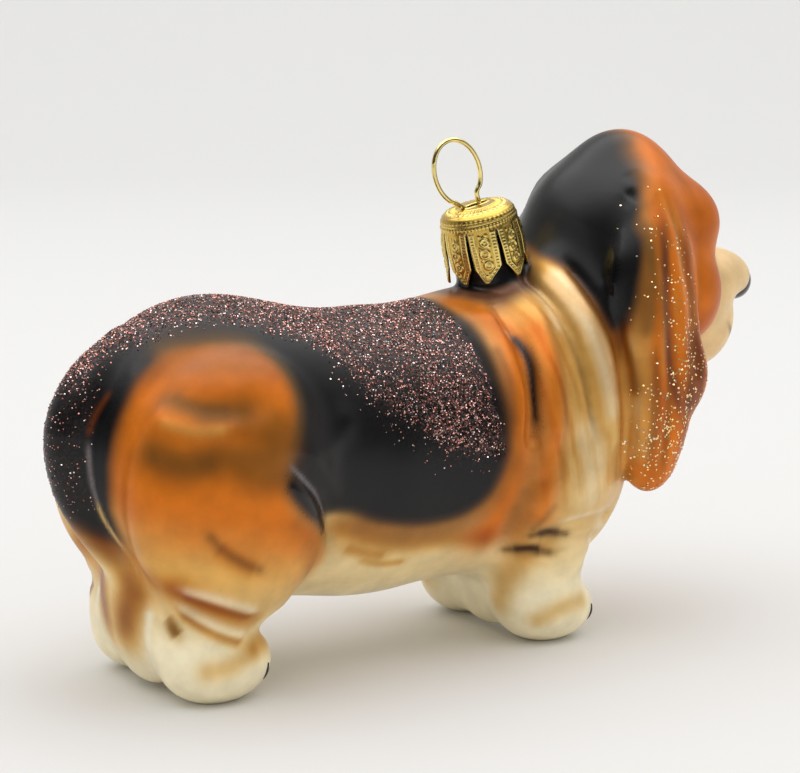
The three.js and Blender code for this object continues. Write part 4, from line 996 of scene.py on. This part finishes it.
cap = cap_piece()
cap.data.materials.append(gilt("gilt_cap", (1.0, 0.80, 0.27), 0.26, True))
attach(cap, "root")
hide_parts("cap")

loop = loop_piece()
loop.data.materials.append(gilt("gilt_wire", (0.95, 0.78, 0.32), 0.14, False))
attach(loop, "root")
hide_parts("hanger_loop")


# Nose, eyes and claws
def globe(form, rings=40, sectors=56):
    """A ball of facets with its poles along X, and each point's direction from the middle."""
    middle, half = form
    ways = [(1.0, 0.0, 0.0)]
    for i in range(1, rings):
        a = math.pi * i / rings
        for j in range(sectors):
            b = 2 * math.pi * j / sectors
            ways.append((math.cos(a), math.sin(a) * math.cos(b), math.sin(a) * math.sin(b)))
    ways.append((-1.0, 0.0, 0.0))
    ways = np.array(ways)
    facets = [(0, 1 + j, 1 + (j + 1) % sectors) for j in range(sectors)]
    facets += ring_facets(rings - 1, sectors, first=1)
    end = 1 + (rings - 2) * sectors
    facets += [(end + j, len(ways) - 1, end + (j + 1) % sectors) for j in range(sectors)]
    return ways * np.array(half) + np.array(middle), facets, ways


def nose_piece():
    points, facets, ways = globe(NOSE)
    for y in (-0.45, 0.45):
        dent = np.exp(-((ways[:, 1] - y) ** 2 / 0.03 + (ways[:, 2] + 0.25) ** 2 / 0.045)) * (ways[:, 0] > 0)
        points[:, 0] -= 0.75 * dent
    groove = np.exp(-(ways[:, 1] ** 2) / 0.004) * (ways[:, 0] > 0) * (ways[:, 2] < 0.3)
    points[:, 0] -= 0.3 * groove
    return new_object("painted_nose", points, facets)


def dark_paint(name, colour, roughness):
    n = new_material(name)
    cloud = n.noise(700.0, 3.0)
    n.set(Base_Color=n.mix(cloud, tuple(c * 0.6 for c in colour), tuple(c * 1.5 for c in colour)))
    n.set(Roughness=n.ramp(cloud, 0.3, 0.7, roughness - 0.03, roughness + 0.05))
    n.set(Coat_Weight=0.5, Coat_Roughness=0.08)
    n.bump(n.noise(1800.0, 2.0), 0.00006, 0.5)
    return n.owner


nose = nose_piece()
nose.data.materials.append(dark_paint("nose_paint", (0.015, 0.013, 0.013), 0.18))
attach(nose, "root")
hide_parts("nose")

GAZE = (0.78, 0.6, 0.05)
EYE_WHITE = np.array((0.62, 0.55, 0.42))
IRIS = np.array((0.10, 0.04, 0.012))
PUPIL = np.array((0.004, 0.003, 0.003))


def eye_piece(name, sign):
    points, facets, ways = globe(EYE)
    aim = np.arccos(np.clip(ways @ GAZE / np.linalg.norm(GAZE), -1, 1))
    points[:, 1] *= sign
    if sign < 0:
        facets = [f[::-1] for f in facets]
    made = new_object(name, points, facets)
    tone = EYE_WHITE + (IRIS - EYE_WHITE) * soft(0.98, 0.86, aim)[:, None]
    tone = tone + (PUPIL - tone) * soft(0.5, 0.4, aim)[:, None]
    paint_attribute(made, "paint", tone)
    return made


def eye_material():
    n = new_material("eye_paint")
    tone = n.shaded(n.held("paint", "Color"), n.ramp(n.noise(1500.0, 2.0), 0.3, 0.7, 0.85, 1.1))
    n.set(Base_Color=tone, Roughness=0.08, Coat_Weight=1.0, Coat_Roughness=0.03)
    return n.owner


eye_paint = eye_material()
for side, sign in (("left", 1), ("right", -1)):
    eye = eye_piece(f"painted_{side}_eye", sign)
    eye.data.materials.append(eye_paint)
    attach(eye, "root")
    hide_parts(f"{side}_eye")

CLAW_TURNS = (-42, -4, 34)
CLAW_HEIGHTS = (2.2, 5.0)
CLAW_RADIUS = 0.26


def claws_piece():
    shapes = []
    for (cx, cy, _), (hx, hy, _) in (HIND_PAW, FORE_PAW):
        for sign in (-1, 1):
            for turn in CLAW_TURNS:
                a = math.radians(turn)
                toe = (cx + hx * math.cos(a), sign * (cy - hy * math.sin(a)))
                path = onto_skin(np.array([(*toe, z) for z in np.linspace(*CLAW_HEIGHTS, 9)]), 4)
                radii = CLAW_RADIUS * np.sin(np.linspace(0.25, math.pi - 0.5, len(path)))
                shapes.append(tube(path, radii, 8))
    points, facets = joined_shapes(shapes)
    return new_object("painted_claws", points, facets)


claws = claws_piece()
claws.data.materials.append(dark_paint("claw_paint", (0.02, 0.012, 0.008), 0.2))
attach(claws, "root")

# Glitter
FLAKE_THICK = 0.035
FLAKE_LIFT = 0.02
FLAKE_SIDES = 6
AREA_OF_POINT = 1.15 * CELL * CELL  # the skin round one of its points, on average
# Tints of the flakes, and the share of each
BACK_FLAKES = [
    ((0.05, 0.018, 0.018), 0.30),
    ((0.60, 0.24, 0.18), 0.36),
    ((0.85, 0.52, 0.46), 0.26),
    ((0.92, 0.86, 0.84), 0.075),
    ((0.15, 0.42, 0.36), 0.005),
]
EAR_FLAKES = [((1.0, 0.70, 0.30), 0.7), ((1.0, 0.86, 0.60), 0.3)]
# Middle, half size, and most flakes on a square millimetre
EAR_PATCHES = [
    ((35.2, 17, 29.5), (3.2, 6, 4.6), 2.6),
    ((39.6, 17, 37.5), (2.6, 6, 4.2), 1.9),
    ((38.3, 17, 46), (3.2, 6, 8), 0.7),
    ((37, 15, 57), (3, 6, 6), 0.45),
]


def ear_rate(p):
    x, y, z = p.T
    rate = np.zeros(len(p))
    for (cx, cy, cz), (a, b, c), most in EAR_PATCHES:
        off = ((x - cx) / a) ** 2 + ((np.abs(y) - cy) / b) ** 2 + ((z - cz) / c) ** 2
        rate += most * np.exp(-0.7 * off)
    return rate


def flakes_piece(name, rate, palette, sizes, tilt, seed):
    """Small flat glitter flakes laid at chance on the skin, each a closed plate of its own tint."""
    chance = np.random.default_rng(seed)
    picked = np.repeat(np.arange(len(points)), chance.poisson(rate * AREA_OF_POINT))
    at = points[picked] + chance.uniform(-CELL / 2, CELL / 2, (len(picked), 3))
    at = onto_skin(at)
    out = slope(hound, at) + tilt * chance.normal(size=at.shape)
    out /= np.linalg.norm(out, axis=1)[:, None]
    across = np.cross(out, chance.normal(size=at.shape))
    across /= np.linalg.norm(across, axis=1)[:, None]
    other = np.cross(out, across)
    size = chance.uniform(*sizes, len(at))[:, None]
    plates = []
    for level in (0.0, FLAKE_THICK):
        for corner in range(FLAKE_SIDES):
            turn = 2 * math.pi * corner / FLAKE_SIDES
            reach = size * (across * math.cos(turn) + other * math.sin(turn))
            plates.append(at + reach + (level + FLAKE_LIFT) * out)
    corners = np.stack(plates, 1).reshape(-1, 3)
    facets = []
    for i in range(len(at)):
        first = 2 * FLAKE_SIDES * i
        second = first + FLAKE_SIDES
        facets.append(tuple(range(first, second))[::-1])
        facets.append(tuple(range(second, second + FLAKE_SIDES)))
        facets += [(a, d, c, b) for a, b, c, d in ring_facets(2, FLAKE_SIDES, first)]
    made = new_object(name, corners, facets, smooth=False)
    tints = np.array([tint for tint, _ in palette])
    share = np.array([part for _, part in palette])
    chosen = tints[chance.choice(len(tints), len(at), p=share / share.sum())]
    paint_attribute(made, "paint", np.repeat(chosen, 2 * FLAKE_SIDES, axis=0))
    foil = new_material(name)
    foil.set(Base_Color=foil.held("paint", "Color"), Metallic=0.75, Roughness=0.22)
    made.data.materials.append(foil.owner)
    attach(made, "root")
    return made


back_glitter = flakes_piece(
    "back_glitter", flake_rate(points), BACK_FLAKES, sizes=(0.07, 0.13), tilt=0.6, seed=7
)
ear_glitter = flakes_piece(
    "ear_glitter", ear_rate(points) * on_ear, EAR_FLAKES, sizes=(0.11, 0.19), tilt=0.3, seed=11
)

# Camera
TARGET = (0.0, -3.5, 38.0)
AZIMUTH, ELEVATION = math.radians(-33), math.radians(10)
DISTANCE = 0.330
FOCAL_LENGTH, PICTURE_WIDTH = 2360, 800  # both in pixels of the photo
SENSOR = 36.0
level_part = math.cos(ELEVATION)
back = Vector((math.sin(AZIMUTH) * level_part, -math.cos(AZIMUTH) * level_part, math.sin(ELEVATION)))
camera = linked("camera", bpy.data.cameras.new("camera"))
camera.location = (Vector(TARGET) + Vector((SHIFT, 0, 0))) * MM + back * DISTANCE
camera.rotation_mode = "QUATERNION"
camera.rotation_quaternion = (-back).to_track_quat("-Z", "Y")
camera.data.sensor_width = SENSOR
camera.data.lens = SENSOR * FOCAL_LENGTH / PICTURE_WIDTH
camera.data.clip_start = 0.01
bpy.context.scene.camera = camera

# Floor, curving up behind as a paper sweep does
SWEEP_NEAR, SWEEP_FAR, SWEEP_BEND, SWEEP_TOP, SWEEP_HALF = 0.7, 0.75, 0.55, 1.3, 1.6
away = Vector((-back.x, -back.y, 0)).normalized()
along = Vector((away.y, -away.x, 0))
profile = [(-SWEEP_NEAR, 0.0), (0.0, 0.0)]
for turn in np.linspace(0, math.pi / 2, 25):
    profile.append((SWEEP_FAR + SWEEP_BEND * math.sin(turn), SWEEP_BEND * (1 - math.cos(turn))))
profile.append((SWEEP_FAR + SWEEP_BEND, SWEEP_TOP))
corners = []
for reach, height in profile:
    for side in (-SWEEP_HALF, SWEEP_HALF):
        corners.append(away * reach + along * side + Vector((0, 0, height)))
sheets = [(2 * i, 2 * i + 1, 2 * i + 3, 2 * i + 2) for i in range(len(profile) - 1)]
floor_mesh = bpy.data.meshes.new("floor")
floor_mesh.from_pydata(corners, [], sheets)
floor_mesh.polygons.foreach_set("use_smooth", [True] * len(sheets))
floor = linked("floor", floor_mesh)
paper = new_material("paper")
paper.set(Base_Color=(0.755, 0.752, 0.742), Roughness=0.7, Specular_IOR_Level=0.2)
floor.data.materials.append(paper.owner)

# World: what the glass mirrors is pale overhead and behind, and dark towards the room; the rest lights evenly
ROOM = 0.05
OVERHEAD = 1.3
BEHIND = 0.6
FILL = 0.72
world = bpy.data.worlds.new("studio")
bpy.context.scene.world = world
sky = Nodes(world, "Background")
way = sky.add("TexCoord").outputs["Generated"]
to_room = sky.add("VectorMath", {0: way, 1: (-away.x, -away.y, 0)}, operation="DOT_PRODUCT").outputs["Value"]
up = sky.add("SeparateXYZ", {0: way}).outputs["Z"]
from_side = sky.ramp(to_room, -0.5, 0.35, BEHIND, ROOM)
rising = {"Value": up, "From Min": 0.40, "From Max": 0.80}
high = sky.add("MapRange", rising, interpolation_type="SMOOTHSTEP").outputs[0]
mirrored = sky.add("Mix", {0: high, 2: from_side, 3: OVERHEAD}, data_type="FLOAT").outputs[0]
glossy = sky.add("LightPath").outputs["Is Glossy Ray"]
strength = sky.add("Mix", {0: glossy, 2: FILL, 3: mirrored}, data_type="FLOAT").outputs[0]
sky.set(Color=(1.0, 0.995, 0.985), Strength=strength)


def softbox(name, place, aim, size, power):
    light = bpy.data.lights.new(name, "AREA")
    light.shape = "RECTANGLE"
    light.size, light.size_y = size
    light.energy = power
    holder = linked(name, light)
    holder.location = place
    holder.rotation_mode = "QUATERNION"
    holder.rotation_quaternion = (aim - place).to_track_quat("-Z", "Y")


above = away * 0.10 + Vector((0, 0, 1.0))
softbox("overhead", above, aim=away * 0.05, size=(1.8, 1.5), power=9.8)
bpy.context.scene.view_settings.view_transform = "Standard"
